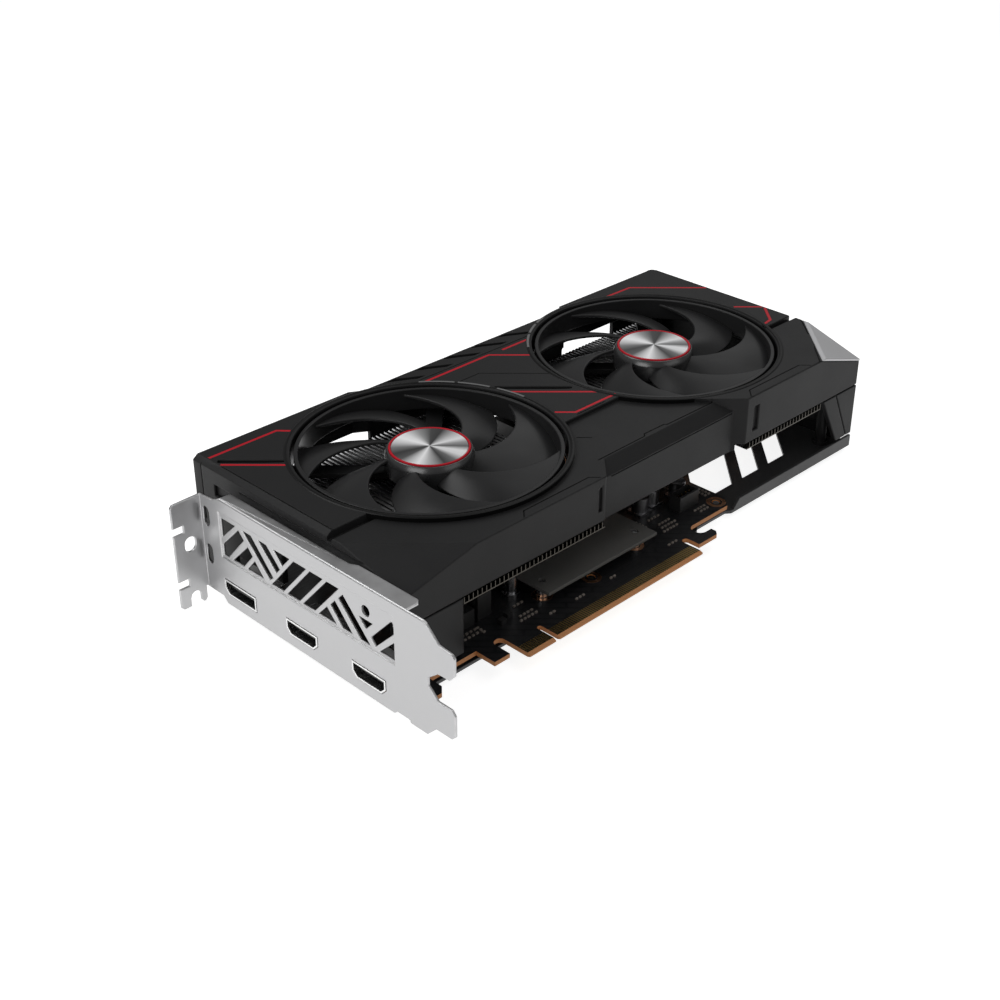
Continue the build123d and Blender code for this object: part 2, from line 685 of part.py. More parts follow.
# posts that carry the fin stacks' wings above the board
with BuildPart() as cooler_posts:
    for x, y in [(66.0, 28.5), (157.0, 92.0)]:
        post([(x, y)], 2.2, board_top_z, fin_wing_z)
        post([(x, y)], 3.0, board_top_z, board_top_z + 1.0)
cooler_posts.part.label = "cooler_posts"
export_step(cooler_posts.part, "parts/cooler_posts.step")

# spring screws pull the cold plate down through the board from behind
brace_top_z = -0.1
brace_low_z = brace_top_z - brace_thickness
with BuildPart() as gpu_brace:
    with BuildSketch(level(brace_low_z)):
        for turn in (45, -45):
            with Locations((gpu_x, gpu_y)):
                SlotOverall(2 * spring_offset * math.sqrt(2) + 8.0, 8.0, rotation=turn)
        with Locations((gpu_x, gpu_y)):
            Circle(9.0)
            Circle(5.0, mode=Mode.SUBTRACT)
        with Locations(*spring_holes):
            Circle(screw_r + screw_fit, mode=Mode.SUBTRACT)
    extrude(amount=brace_top_z - brace_low_z)
gpu_brace.part.label = "gpu_brace"
export_step(gpu_brace.part, "parts/gpu_brace.step")

with BuildPart() as spring_screws:
    for x, y in spring_holes:
        post([(x, y)], screw_head_r, brace_low_z - 1.0, brace_low_z)
        post([(x, y)], screw_r, brace_low_z, frame_low_z)
spring_screws.part.label = "spring_screws"
export_step(spring_screws.part, "parts/spring_screws.step")

# ---------------------------------------------------------------------------
# Backplate
# ---------------------------------------------------------------------------


def window_points(i):
    """One slanted air window at the tail."""
    x0 = window_start_x + window_pitch * i - (first_window_extra if i == 0 else 0.0)
    x1 = window_start_x + window_pitch * i + window_width
    top = window_low_y + window_rise
    return [(x0, window_low_y), (x1, window_low_y), (x1 + window_rise, top), (x0 + window_rise, top)]


window_count = 3
backplate_screws_at = [board_holes[0], board_holes[1], board_holes[4], board_holes[5], board_holes[6]]
cover_posts = [(231.6, 21.6), (231.6, 108.0)]
with BuildPart() as backplate:
    with BuildSketch(level(backplate_low_z)):
        Polygon((backplate_left_x, 20.0), (backplate_left_x + 6.5, lower_edge_y), (145.0, lower_edge_y),
                 (147.0, 15.0), (163.0, 15.0), (165.0, lower_edge_y), (card_length, lower_edge_y),
                 (card_length, upper_edge_y - 8.0), (card_length - 8.0, upper_edge_y),
                 (backplate_left_x, upper_edge_y), align=None)
        for i in range(window_count):
            Polygon(*window_points(i), align=None, mode=Mode.SUBTRACT)
        with Locations(*spring_holes):
            Circle(screw_head_r + 0.5, mode=Mode.SUBTRACT)
    extrude(amount=backplate_thickness)
    # upturned flange at the tail
    with BuildSketch(flank(lower_edge_y + 1.0)):
        Polygon((flange_start_x, backplate_low_z), (card_length, backplate_low_z), (card_length, flange_top_z),
                 (flange_start_x + 3.0, flange_top_z), (flange_start_x, flange_top_z - 3.0), align=None)
    extrude(amount=1.0)
    # bosses that the board rests on
    post(backplate_screws_at, 2.7, backplate_top_z, 0)
    for x, y in backplate_screws_at + cover_posts:
        post([(x, y)], screw_r + screw_fit, backplate_low_z - 1, 1, Mode.SUBTRACT)
        post([(x, y)], screw_head_r + screw_fit, backplate_low_z - 1, backplate_low_z + 0.8, Mode.SUBTRACT)
backplate.part.label = "backplate"
export_step(backplate.part, "parts/backplate.step")

with BuildPart() as backplate_screws:
    for x, y in backplate_screws_at + cover_posts:
        top_z = board_top_z - 0.2 if (x, y) in backplate_screws_at else backplate_top_z + 5.0
        post([(x, y)], screw_head_r, backplate_low_z + 0.1, backplate_low_z + 0.8)
        post([(x, y)], screw_r, backplate_low_z + 0.8, top_z)
backplate_screws.part.label = "backplate_screws"
export_step(backplate_screws.part, "parts/backplate_screws.step")

# ---------------------------------------------------------------------------
# Shroud
# ---------------------------------------------------------------------------
shroud_points = [
    (shroud_front_x, lower_edge_y), (94.5, lower_edge_y), (98.0, middle_wall_y), (166.0, middle_wall_y),
    (169.5, lower_edge_y), (card_length, lower_edge_y), (card_length, upper_edge_y - 2.4),
    (card_length - 0.7, upper_edge_y - 0.7), (card_length - 2.4, upper_edge_y), (183.0, upper_edge_y),
    (183.0 - upper_notch, upper_edge_y - upper_notch), (79.0, upper_edge_y - upper_notch),
    (73.7, upper_edge_y), (shroud_front_x, upper_edge_y),
]
accent_paths = [
    [(9.6, 111.6), (37.3, 111.5), (41.1, 107.4)],
    [(9.6, 105.2), (19.1, 95.6), (25.5, 89.2)],
    [(202.6, 110.5), (217.5, 110.2), (239.6, 88.1)],
    [(231.6, 67.9), (239.6, 59.9)],
    [(239.6, 58.7), (231.4, 49.9), (226.6, 49.2)],
    [(98.3, 104.1), (130.8, 104.2), (142.4, 92.6)],
    [(137.6, 103.9), (151.6, 103.9)],
    [(113.6, 77.6), (123.1, 68.0), (137.0, 54.1)],
    [(113.8, 54.6), (118.9, 49.5), (139.7, 49.3)],
]
seam_paths = [
    [(94.8, 105.2), (99.2, 106.3), (154.8, 106.0)],
    [(106.3, 95.3), (117.2, 95.3), (135.8, 76.4)],
    [(239.6, 41.2), (230.8, 31.7), (231.0, 30.7), (223.1, 23.0), (221.2, 21.9), (213.0, 13.9)],
    [(118.0, 47.9), (132.3, 47.9)],
    [(9.2, 48.5), (9.2, 104.0)],
]
low_seam_paths = [
    [(100.6, 22.6), (124.3, 22.8), (125.6, 24.0), (135.7, 23.8), (136.4, 23.0), (160.6, 22.6)],
    [(57.0, 14.0), (59.9, 17.0), (89.8, 17.0), (92.6, 14.2)],
    [(107.3, 38.4), (111.0, 34.7)],
]
tail_seam_path = [(171.6, 14.0), (175.4, 17.6), (205.0, 17.4), (208.0, 14.2)]
groove_paths = [
    [(10.4, 108.0), (26.4, 92.1)],
    [(113.0, 83.0), (122.8, 73.2), (132.4, 63.6)],
]
facet_corners = {
    "front": ((shroud_front_x, 43.0, middle_top_z), (36.6, lower_edge_y, middle_top_z),
              (shroud_front_x, lower_edge_y, middle_top_z - 6.3)),
    "tail": ((216.5, lower_edge_y, shroud_top_z), (card_length, 38.0, shroud_top_z),
             (card_length, lower_edge_y, shroud_top_z - facet_drop)),
}


def facet(name, inset=0.0):
    """Plane of a bevelled corner, facing outwards, moved into the body by the inset."""
    a, b, c = (place(*corner) for corner in facet_corners[name])
    normal = (b - a).cross(c - a).normalized()
    if normal.Z < 0:
        normal = -normal
    return Plane(origin=c - normal * inset, z_dir=normal)


def strokes(z, paths, width):
    """Lines of one width at height z, each following its own path."""
    with BuildSketch(level(z)) as lines:
        for path in paths:
            with BuildLine() as route:
                Polyline(*path)
            trace(route.line, line_width=width)
    return lines.sketch


# the bevelled shoulder along the middle of the lower side
with BuildPart() as shoulder_cut:
    with BuildSketch(level(middle_wall_top_z - 2)):
        Polygon((98.0, middle_wall_y - 0.01), (103.4, middle_wall_y + 5.4), (160.6, middle_wall_y + 5.4),
                (166.0, middle_wall_y - 0.01), align=None)
    extrude(amount=8)
    with BuildSketch(station(90)):
        Polygon((middle_wall_y - 1, middle_wall_top_z - 0.7), (middle_wall_y, middle_wall_top_z),
                (middle_wall_y + 5.0, middle_top_z), (middle_wall_y + 5.0, 45.0), (middle_wall_y - 1, 45.0),
                align=None)
    extrude(amount=90, mode=Mode.INTERSECT)

fan_points = [(x, fan_y) for x in fan_centres.values()]
boss_points = [(x + sx * boss_reach / math.sqrt(2), fan_y + sy * boss_reach / math.sqrt(2))
               for x in fan_centres.values() for sx in (-1, 1) for sy in (-1, 1)]

with BuildPart() as shroud:
    # walls and ceiling
    with BuildSketch(level(middle_wall_low_z)):
        with BuildLine():
            Polyline(*shroud_points, close=True)
        make_face()
        offset(amount=-shroud_wall, kind=Kind.INTERSECTION, mode=Mode.SUBTRACT)
    extrude(amount=ceiling_z + 1 - middle_wall_low_z)
    with BuildSketch(level(ceiling_z)):
        with BuildLine():
            Polyline(*shroud_points, close=True)
        make_face()
    extrude(amount=shroud_top_z - ceiling_z)
    # thick corners behind the bevels
    with BuildSketch(level(31.0)):
        Polygon((8.0, 14.5), (27.0, 14.5), (8.0, 33.5), align=None)
        Polygon((card_length - 1, 14.5), (card_length - 21.0, 14.5), (card_length - 1, 34.5), align=None)
    extrude(amount=ceiling_z + 0.5 - 31.0)
    # fan wells, and the bosses that carry the fans
    with BuildSketch(level(arm_high_z)):
        with Locations(*fan_points):
            Circle(well_r + 2.0)
        with BuildLine():
            Polyline(*shroud_points, close=True)
        make_face(mode=Mode.INTERSECT)
        with Locations(*boss_points):
            Circle(boss_r)
    extrude(amount=ceiling_z + 0.5 - arm_high_z)
    # lower walls end at different heights
    box(0, 97.0, 12.0, 20.0, 20.0, side_wall_low_z, Mode.SUBTRACT)
    box(167.0, 245.0, 12.0, 20.0, 20.0, side_wall_low_z, Mode.SUBTRACT)
    box(0, 245.0, 108.0, 120.0, 20.0, upper_wall_low_z, Mode.SUBTRACT)
    box(card_length - 4, 245.0, 17.0, 120.0, 20.0, upper_wall_low_z, Mode.SUBTRACT)
    box(0, 10.0, 17.0, 72.0, 20.0, 25.0, Mode.SUBTRACT)
    # front wall behind the bracket's upper half, and the deeper corner beside it
    box(shroud_front_x, shroud_front_x + shroud_wall, 72.0, 98.0, front_wall_low_z, upper_wall_low_z)
    box(shroud_front_x, shroud_front_x + shroud_wall, 98.0, upper_edge_y, corner_wall_low_z, upper_wall_low_z)
    # the recessed wall along the upper side reaches lower, with a gap for the power plug
    notch_y = upper_edge_y - upper_notch
    box(79.0, 183.0 - upper_notch, notch_y - shroud_wall, notch_y, notch_wall_low_z, upper_wall_low_z)
    box(plug_x - 11.0, plug_x + 11.0, notch_y - shroud_wall - 1, notch_y + 1, notch_wall_low_z - 1, plug_gap_top_z,
        Mode.SUBTRACT)
    # lower level of the front and the middle
    with BuildSketch(level(middle_top_z)):
        Polygon((0, 10.0), (173.0, 10.0), (156.2, 26.8), (156.2, waist_y), (0, waist_y), align=None)
        with Locations(*fan_points):
            Circle(well_r + 2.0, mode=Mode.SUBTRACT)
    extrude(amount=3, mode=Mode.SUBTRACT)
    add(shoulder_cut.part, mode=Mode.SUBTRACT)
    # step where the levels meet, and the notch beside it at each end
    box(0, 27.0, waist_y - 1.0, waist_y + 1.2, shroud_top_z - 3.0, 43.0, Mode.SUBTRACT)
    box(224.0, 245.0, 44.4, waist_y, shroud_top_z - 2.0, 43.0, Mode.SUBTRACT)
    # rounded-off front edge
    with BuildSketch(flank(upper_edge_y + 1)):
        Polygon((shroud_front_x - 1, shroud_top_z - 2.3), (shroud_front_x + 2.7, shroud_top_z + 0.5),
                (shroud_front_x - 1, shroud_top_z + 0.5), align=None)
    extrude(amount=upper_edge_y + 1 - waist_y - 1.2, mode=Mode.SUBTRACT)
    # slanted ribs along the upper side
    with BuildSketch(level(shroud_top_z - 1.0)):
        for i in range(5):
            with Locations((14.0 * i, 0)):
                Polygon((86.0, 114.6), (90.5, 114.6), (102.5, 107.7), (98.5, 107.7), align=None)
    extrude(amount=2, mode=Mode.SUBTRACT)
    # bores for the fans
    post(fan_points, well_r, 30.0, 43.0, Mode.SUBTRACT)
    post(boss_points, screw_r + screw_fit, arm_high_z - 1, arm_high_z + 4.5, Mode.SUBTRACT)
    # engraved lines
    extrude(strokes(shroud_top_z - 0.5, seam_paths + [tail_seam_path], seam), amount=2, mode=Mode.SUBTRACT)
    extrude(strokes(middle_top_z - 0.5, low_seam_paths, seam), amount=2, mode=Mode.SUBTRACT)
    extrude(strokes(shroud_top_z - 1.4, groove_paths, 1.9), amount=3, mode=Mode.SUBTRACT)
    extrude(strokes(shroud_top_z - accent_depth, accent_paths, accent_width + 2 * accent_fit), amount=2,
            mode=Mode.SUBTRACT)
    # upright slots and lines on the outer walls
    box(91.4, 93.0, 12.0, lower_edge_y + 1.0, 28.0, 37.0, Mode.SUBTRACT)
    box(173.6, 176.4, 12.0, lower_edge_y + 1.0, 27.7, 37.2, Mode.SUBTRACT)
    box(101.0, 165.2, 15.0, middle_wall_y + 0.4, 36.1, 36.5, Mode.SUBTRACT)
    box(5.0, shroud_front_x + 0.4, 112.5, 112.9, 20.0, 42.0, Mode.SUBTRACT)
    box(5.0, shroud_front_x + 0.4, 30.0, 92.0, 37.6, 38.0, Mode.SUBTRACT)
    box(5.0, shroud_front_x + 1.0, 98.0, 106.0, 31.0, 35.0, Mode.SUBTRACT)
    # legs down to the backplate
    post(cover_posts, 2.2, backplate_top_z, ceiling_z + 0.5)
    post(cover_posts, 2.9, backplate_top_z, backplate_top_z + 1.4)
    post(cover_posts, screw_r + screw_fit, backplate_top_z - 1, backplate_top_z + 6.0, Mode.SUBTRACT)
    # bevelled corners
    split(bisect_by=facet("front"), keep=Keep.BOTTOM)
    split(bisect_by=facet("tail", trim_thickness), keep=Keep.BOTTOM)
shroud.part.label = "shroud"
export_step(shroud.part, "parts/shroud.step")

with BuildPart() as corner_trim:
    box(214.0, card_length, lower_edge_y, 41.0, shroud_top_z - facet_drop - 2, shroud_top_z)
    split(bisect_by=facet("tail"), keep=Keep.BOTTOM)
    split(bisect_by=facet("tail", trim_thickness - 0.05), keep=Keep.TOP)
corner_trim.part.label = "corner_trim"
export_step(corner_trim.part, "parts/corner_trim.step")

with BuildPart() as accent_lines:
    extrude(strokes(shroud_top_z - accent_depth + 0.02, accent_paths, accent_width), amount=accent_depth - 0.02)
accent_lines.part.label = "accent_lines"
export_step(accent_lines.part, "parts/accent_lines.step")

cover_top_z = side_wall_low_z - seam
with BuildPart() as shroud_front_cover:
    with BuildSketch(flank(lower_edge_y + shroud_wall)):
        Polygon((8.0, 4.4), (9.3, 3.1), (29.2, 3.1), (30.5, 4.4), (30.5, cover_top_z), (8.0, cover_top_z),
                align=None)
    extrude(amount=shroud_wall)
    box(8.0, 8.0 + shroud_wall, lower_edge_y, 22.0, 12.0, cover_top_z)
    box(28.5, 30.5, lower_edge_y, 21.0, 3.1, 9.0)
    box(20.0, 30.5, 19.0, 21.0, board_top_z + 0.1, 9.0)
shroud_front_cover.part.label = "shroud_front_cover"
export_step(shroud_front_cover.part, "parts/shroud_front_cover.step")

with BuildPart() as shroud_end_cover:
    with BuildSketch(flank(lower_edge_y + shroud_wall)):
        Polygon((218.4, cover_top_z), (229.9, 2.6), (card_length, 2.6), (card_length, cover_top_z), align=None)
    extrude(amount=shroud_wall)
    box(card_length - shroud_wall, card_length, lower_edge_y, 17.4, 2.6, cover_top_z)
    box(card_length - shroud_wall, card_length, 17.4, upper_edge_y - 2.4, 2.6, upper_wall_low_z - seam)
    box(214.0, card_length - 2.4, upper_edge_y - shroud_wall, upper_edge_y, 2.6, upper_wall_low_z - seam)
    box(card_length - 4.4, card_length, upper_edge_y - 4.4, upper_edge_y - 2.4, 2.6, upper_wall_low_z - seam)
    box(card_length - 4.4, card_length - 2.4, upper_edge_y - 4.4, upper_edge_y, 2.6, upper_wall_low_z - seam)
    with BuildSketch(flank(lower_edge_y + 0.5)) as brace_seam:
        with BuildLine() as route:
            Polyline((226.0, cover_top_z + 1), (237.4, 1.0))
        trace(line_width=seam)
    extrude(amount=1, mode=Mode.SUBTRACT)
shroud_end_cover.part.label = "shroud_end_cover"
export_step(shroud_end_cover.part, "parts/shroud_end_cover.step")

# ---------------------------------------------------------------------------
# Fans
# ---------------------------------------------------------------------------
stator_high_z = 38.2
hub_floor_z = fan_top_z - badge_depth - hub_roof


def arms(x):
    """Hub plate of a fan with four arms out to the shroud's bosses."""
    post([(x, fan_y)], stator_r + 1.0, arm_low_z, arm_high_z)
    with BuildSketch(level(arm_low_z)) as spokes:
        for turn in (45, -45):
            with Locations((x, fan_y)):
                SlotOverall(2 * boss_reach + 6.4, arm_width, rotation=turn)
    extrude(spokes.sketch, amount=arm_high_z - arm_low_z)
    post([(x, fan_y)], bearing_r + 0.05, arm_low_z + 0.5, arm_high_z + 1, Mode.SUBTRACT)
    near = [p for p in boss_points if abs(p[0] - x) < boss_reach]
    post(near, screw_r + screw_fit, arm_low_z - 1, arm_high_z + 1, Mode.SUBTRACT)


def stator(x):
    """Wound core that stands on the hub plate, with teeth all round."""
    with BuildSketch(level(arm_high_z)) as core:
        with Locations((x, fan_y)):
            Circle(stator_r - 4.5)
            with PolarLocations(stator_r - 4.0, 6):
                Rectangle(7.0, 3.0)
            with PolarLocations(stator_r - 0.9, 6):
                Rectangle(1.6, 8.6)
            Circle(bearing_r + 0.05, mode=Mode.SUBTRACT)
    extrude(core.sketch, amount=stator_high_z - arm_high_z)


def bearing(x):
    """Sleeve that the shaft runs in."""
    post([(x, fan_y)], bearing_r, arm_low_z + 0.5, stator_high_z + 0.2)
    post([(x, fan_y)], shaft_r + shaft_gap, arm_low_z, stator_high_z + 1, Mode.SUBTRACT)


def shaft(x):
    """Turning shaft, held in the rotor's hub."""
    post([(x, fan_y)], shaft_r, arm_low_z + 0.7, hub_floor_z + hub_roof)


def section(radius, low_turn, high_turn, thickness):
    """A blade's outline on an upright plane at one radius, from its low edge up to its high edge."""
    angle = math.radians((low_turn + high_turn) / 2)
    out = (math.cos(angle), math.sin(angle), 0)
    along = (-math.sin(angle), math.cos(angle), 0)
    run = 2 * radius * math.tan(math.radians((high_turn - low_turn) / 2))
    rise = blade_high_edge_z - blade_low_edge_z
    middle_z = (blade_low_edge_z + blade_high_edge_z) / 2
    with BuildSketch(Plane(origin=(radius * out[0], radius * out[1], middle_z), x_dir=along, z_dir=out)) as cut:
        Rectangle(math.hypot(run, rise), thickness, rotation=math.degrees(math.atan2(rise, run)))
    return cut.sketch


blade_low_z = fan_top_z - ring_height
with BuildPart() as blade:
    loft([section(hub_r - 1.5, -23.0, 3.5, blade_thickness + 0.3),
          section(24, -10.0, 21.5, blade_thickness + 0.1),
          section(34, 3.5, 39.5, blade_thickness),
          section(ring_r + 1, 18.0, 62.0, blade_thickness - 0.1)])
    with BuildSketch(Plane.XY.offset(blade_low_z)):
        Circle(ring_r - ring_wall / 2)
        Circle(hub_r - 0.8, mode=Mode.SUBTRACT)
    extrude(amount=ring_height - 0.2, mode=Mode.INTERSECT)

with BuildPart() as rotor_shape:
    with BuildSketch(Plane.XY.offset(blade_low_z)):
        Circle(ring_r)
        Circle(ring_r - ring_wall, mode=Mode.SUBTRACT)
    extrude(amount=ring_height)
    with BuildSketch(Plane.XY.offset(hub_low_z)):
        Circle(hub_r)
        Circle(hub_r - hub_wall, mode=Mode.SUBTRACT)
    extrude(amount=hub_slope_low_z - hub_low_z)
    # the hub's sloping shoulder
    with BuildSketch(Plane.XY.offset(hub_slope_low_z)):
        Circle(hub_r)
    with BuildSketch(Plane.XY.offset(hub_top_z)):
        Circle(hub_mouth_r)
    loft()
    with BuildSketch(Plane.XY.offset(hub_floor_z)):
        Circle(shaft_r + 0.02)
    extrude(amount=hub_roof, mode=Mode.SUBTRACT)
    with BuildSketch(Plane.XY.offset(fan_top_z - badge_depth)):
        Circle(badge_r + badge_ring_width + 0.05)
    extrude(amount=badge_depth + 1, mode=Mode.SUBTRACT)
    with PolarLocations(0, blade_count):
        add(blade.part)

with BuildPart() as front_fan_frame:
    arms(fan_centres["front"])
front_fan_frame.part.label = "front_fan_frame"
export_step(front_fan_frame.part, "parts/front_fan_frame.step")

with BuildPart() as front_fan_stator:
    stator(fan_centres["front"])
front_fan_stator.part.label = "front_fan_stator"
export_step(front_fan_stator.part, "parts/front_fan_stator.step")

with BuildPart() as front_fan_bearing:
    bearing(fan_centres["front"])
front_fan_bearing.part.label = "front_fan_bearing"
export_step(front_fan_bearing.part, "parts/front_fan_bearing.step")

with BuildPart() as front_fan_shaft:
    shaft(fan_centres["front"])
front_fan_shaft.part.label = "front_fan_shaft"
export_step(front_fan_shaft.part, "parts/front_fan_shaft.step")

with BuildPart(Plane(origin=place(fan_centres["front"], fan_y, 0))) as front_fan_rotor:
    add(rotor_shape.part)
front_fan_rotor.part.label = "front_fan_rotor"
export_step(front_fan_rotor.part, "parts/front_fan_rotor.step")

with BuildPart() as front_fan_badge:
    post([(fan_centres["front"], fan_y)], badge_r, fan_top_z - badge_depth, fan_top_z)
front_fan_badge.part.label = "front_fan_badge"
export_step(front_fan_badge.part, "parts/front_fan_badge.step")

with BuildPart() as front_badge_ring:
    post([(fan_centres["front"], fan_y)], badge_r + badge_ring_width, fan_top_z - badge_depth, fan_top_z)
    post([(fan_centres["front"], fan_y)], badge_r + 0.03, 30.0, fan_top_z + 1, Mode.SUBTRACT)
front_badge_ring.part.label = "front_badge_ring"
export_step(front_badge_ring.part, "parts/front_badge_ring.step")

with BuildPart() as rear_fan_frame:
    arms(fan_centres["rear"])
rear_fan_frame.part.label = "rear_fan_frame"
export_step(rear_fan_frame.part, "parts/rear_fan_frame.step")

with BuildPart() as rear_fan_stator:
    stator(fan_centres["rear"])
rear_fan_stator.part.label = "rear_fan_stator"
export_step(rear_fan_stator.part, "parts/rear_fan_stator.step")

with BuildPart() as rear_fan_bearing:
    bearing(fan_centres["rear"])
rear_fan_bearing.part.label = "rear_fan_bearing"
export_step(rear_fan_bearing.part, "parts/rear_fan_bearing.step")

with BuildPart() as rear_fan_shaft:
    shaft(fan_centres["rear"])
rear_fan_shaft.part.label = "rear_fan_shaft"
export_step(rear_fan_shaft.part, "parts/rear_fan_shaft.step")

with BuildPart(Plane(origin=place(fan_centres["rear"], fan_y, 0))) as rear_fan_rotor:
    add(rotor_shape.part, rotation=(0, 0, rear_rotor_turn))
rear_fan_rotor.part.label = "rear_fan_rotor"
export_step(rear_fan_rotor.part, "parts/rear_fan_rotor.step")

with BuildPart() as rear_fan_badge:
    post([(fan_centres["rear"], fan_y)], badge_r, fan_top_z - badge_depth, fan_top_z)
rear_fan_badge.part.label = "rear_fan_badge"
export_step(rear_fan_badge.part, "parts/rear_fan_badge.step")

with BuildPart() as rear_badge_ring:
    post([(fan_centres["rear"], fan_y)], badge_r + badge_ring_width, fan_top_z - badge_depth, fan_top_z)
    post([(fan_centres["rear"], fan_y)], badge_r + 0.03, 30.0, fan_top_z + 1, Mode.SUBTRACT)
rear_badge_ring.part.label = "rear_badge_ring"
export_step(rear_badge_ring.part, "parts/rear_badge_ring.step")

with BuildPart() as fan_screws:
    post(boss_points, screw_head_r, arm_low_z - screw_head, arm_low_z)
    post(boss_points, screw_r, arm_low_z, arm_high_z + 4.0)
fan_screws.part.label = "fan_screws"
export_step(fan_screws.part, "parts/fan_screws.step")
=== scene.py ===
import bpy
import bmesh
import math
from mathutils import Matrix, Vector


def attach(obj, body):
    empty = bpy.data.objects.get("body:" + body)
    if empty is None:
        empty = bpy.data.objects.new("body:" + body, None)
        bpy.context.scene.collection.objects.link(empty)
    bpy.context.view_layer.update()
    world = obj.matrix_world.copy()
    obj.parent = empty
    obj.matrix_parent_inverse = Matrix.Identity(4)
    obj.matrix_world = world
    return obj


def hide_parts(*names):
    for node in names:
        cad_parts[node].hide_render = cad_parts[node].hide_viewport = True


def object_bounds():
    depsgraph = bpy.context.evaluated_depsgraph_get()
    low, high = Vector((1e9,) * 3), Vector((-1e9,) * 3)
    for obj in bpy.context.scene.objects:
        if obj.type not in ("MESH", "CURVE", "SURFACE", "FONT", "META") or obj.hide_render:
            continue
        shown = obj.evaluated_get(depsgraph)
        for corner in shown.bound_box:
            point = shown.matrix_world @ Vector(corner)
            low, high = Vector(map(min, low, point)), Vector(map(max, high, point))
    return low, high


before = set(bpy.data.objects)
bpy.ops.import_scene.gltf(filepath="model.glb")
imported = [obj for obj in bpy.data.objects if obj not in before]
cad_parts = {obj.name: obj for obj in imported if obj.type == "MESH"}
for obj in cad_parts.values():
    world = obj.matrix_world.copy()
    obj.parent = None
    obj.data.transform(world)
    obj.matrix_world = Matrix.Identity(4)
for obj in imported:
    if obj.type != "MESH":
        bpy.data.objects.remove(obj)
cadLow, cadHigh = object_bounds()
print("frame loaded")

mm = 0.001
# where the card's own corner lies: bracket face, connector edge, board underside
cardOrigin = Vector((-114.285, -51.35, 4.95)) * mm


def atCard(x, y, z):
    return cardOrigin + Vector((x, y, z)) * mm


# where the camera stands, in card millimetres and degrees
view = {"place": (-238.08, -270.60, 283.17), "tilt": 60.0, "turn": -45.0, "lens": 55.83, "sensor": 36.0}
cameraData = bpy.data.cameras.new("camera")
cameraData.lens = view["lens"]
cameraData.sensor_width = view["sensor"]
cameraData.clip_start = 0.01
cameraData.clip_end = 10.0
camera = bpy.data.objects.new("camera", cameraData)
camera.location = atCard(*view["place"])
camera.rotation_euler = (math.radians(view["tilt"]), 0.0, math.radians(view["turn"]))
bpy.context.scene.collection.objects.link(camera)
bpy.context.scene.camera = camera
bpy.context.scene.view_settings.view_transform = "Standard"

# wide soft lamps: place and aim in card millimetres, size in millimetres, power in watts
softLights = [
    {"name": "keyPanel", "place": (-150, 420, 620), "aim": (120, 55, 30), "size": (520, 380), "power": 2.2},
    {"name": "frontPanel", "place": (-520, -60, 260), "aim": (0, 50, 10), "size": (420, 300), "power": 1.1},
    {"name": "sidePanel", "place": (260, -560, 320), "aim": (130, 20, 20), "size": (500, 260), "power": 0.30},
    {"name": "topPanel", "place": (310, -55, 590), "aim": (130, 40, 30), "size": (640, 380), "power": 0.75},
    {"name": "rearPanel", "place": (560, 260, 420), "aim": (180, 60, 20), "size": (360, 360), "power": 0.25},
]
for light in softLights:
    data = bpy.data.lights.new(light["name"], "AREA")
    data.shape = "RECTANGLE"
    data.size = light["size"][0] * mm
    data.size_y = light["size"][1] * mm
    data.energy = light["power"]
    lamp = bpy.data.objects.new(light["name"], data)
    lamp.location = atCard(*light["place"])
    aim = atCard(*light["aim"]) - lamp.location
    lamp.rotation_euler = aim.to_track_quat("-Z", "Y").to_euler()
    bpy.context.scene.collection.objects.link(lamp)
print("camera and lamps placed")


def nodeTree(name):
    mat = bpy.data.materials.new(name)
    mat.use_nodes = True
    mat.node_tree.nodes.clear()
    return mat, mat.node_tree


def addNode(tree, kind, **values):
    node = tree.nodes.new(kind)
    for key, value in values.items():
        if key in node.inputs.keys():
            node.inputs[key].default_value = value
        else:
            setattr(node, key, value)
    return node


def link(tree, source, out, target, socket):
    tree.links.new(source.outputs[out], target.inputs[socket])


def newGroup(name, inputs, outputs):
    group = bpy.data.node_groups.new(name, "ShaderNodeTree")
    for label, kind, value in inputs:
        socket = group.interface.new_socket(name=label, in_out="INPUT", socket_type=kind)
        socket.default_value = value
    for label, kind in outputs:
        group.interface.new_socket(name=label, in_out="OUTPUT", socket_type=kind)
    start = group.nodes.new("NodeGroupInput")
    end = group.nodes.new("NodeGroupOutput")
    return group, start, end


# fine moulded or cast grain: a height and a slow mottling mask
grain, grainIn, grainOut = newGroup(
    "moulded grain",
    [("Grain Scale", "NodeSocketFloat", 2600.0), ("Mottle Scale", "NodeSocketFloat", 60.0),
     ("Vector", "NodeSocketVector", (0.0, 0.0, 0.0))],
    [("Height", "NodeSocketFloat"), ("Mottle", "NodeSocketFloat")])
grainCoord = addNode(grain, "ShaderNodeTexCoord")
grainFine = addNode(grain, "ShaderNodeTexNoise", Detail=3.0, Roughness=0.6)
grainPits = addNode(grain, "ShaderNodeTexVoronoi", feature="SMOOTH_F1", Smoothness=0.6)
grainSlow = addNode(grain, "ShaderNodeTexNoise", Detail=4.0, Roughness=0.55)
grainMix = addNode(grain, "ShaderNodeMath", operation="ADD")
link(grain, grainIn, "Grain Scale", grainFine, "Scale")
link(grain, grainIn, "Grain Scale", grainPits, "Scale")
link(grain, grainIn, "Mottle Scale", grainSlow, "Scale")
for texture in (grainFine, grainPits, grainSlow):
    link(grain, grainCoord, "Object", texture, "Vector")
grain.links.new(grainFine.outputs["Fac"], grainMix.inputs[0])
grain.links.new(grainPits.outputs["Distance"], grainMix.inputs[1])
link(grain, grainMix, "Value", grainOut, "Height")
link(grain, grainSlow, "Fac", grainOut, "Mottle")

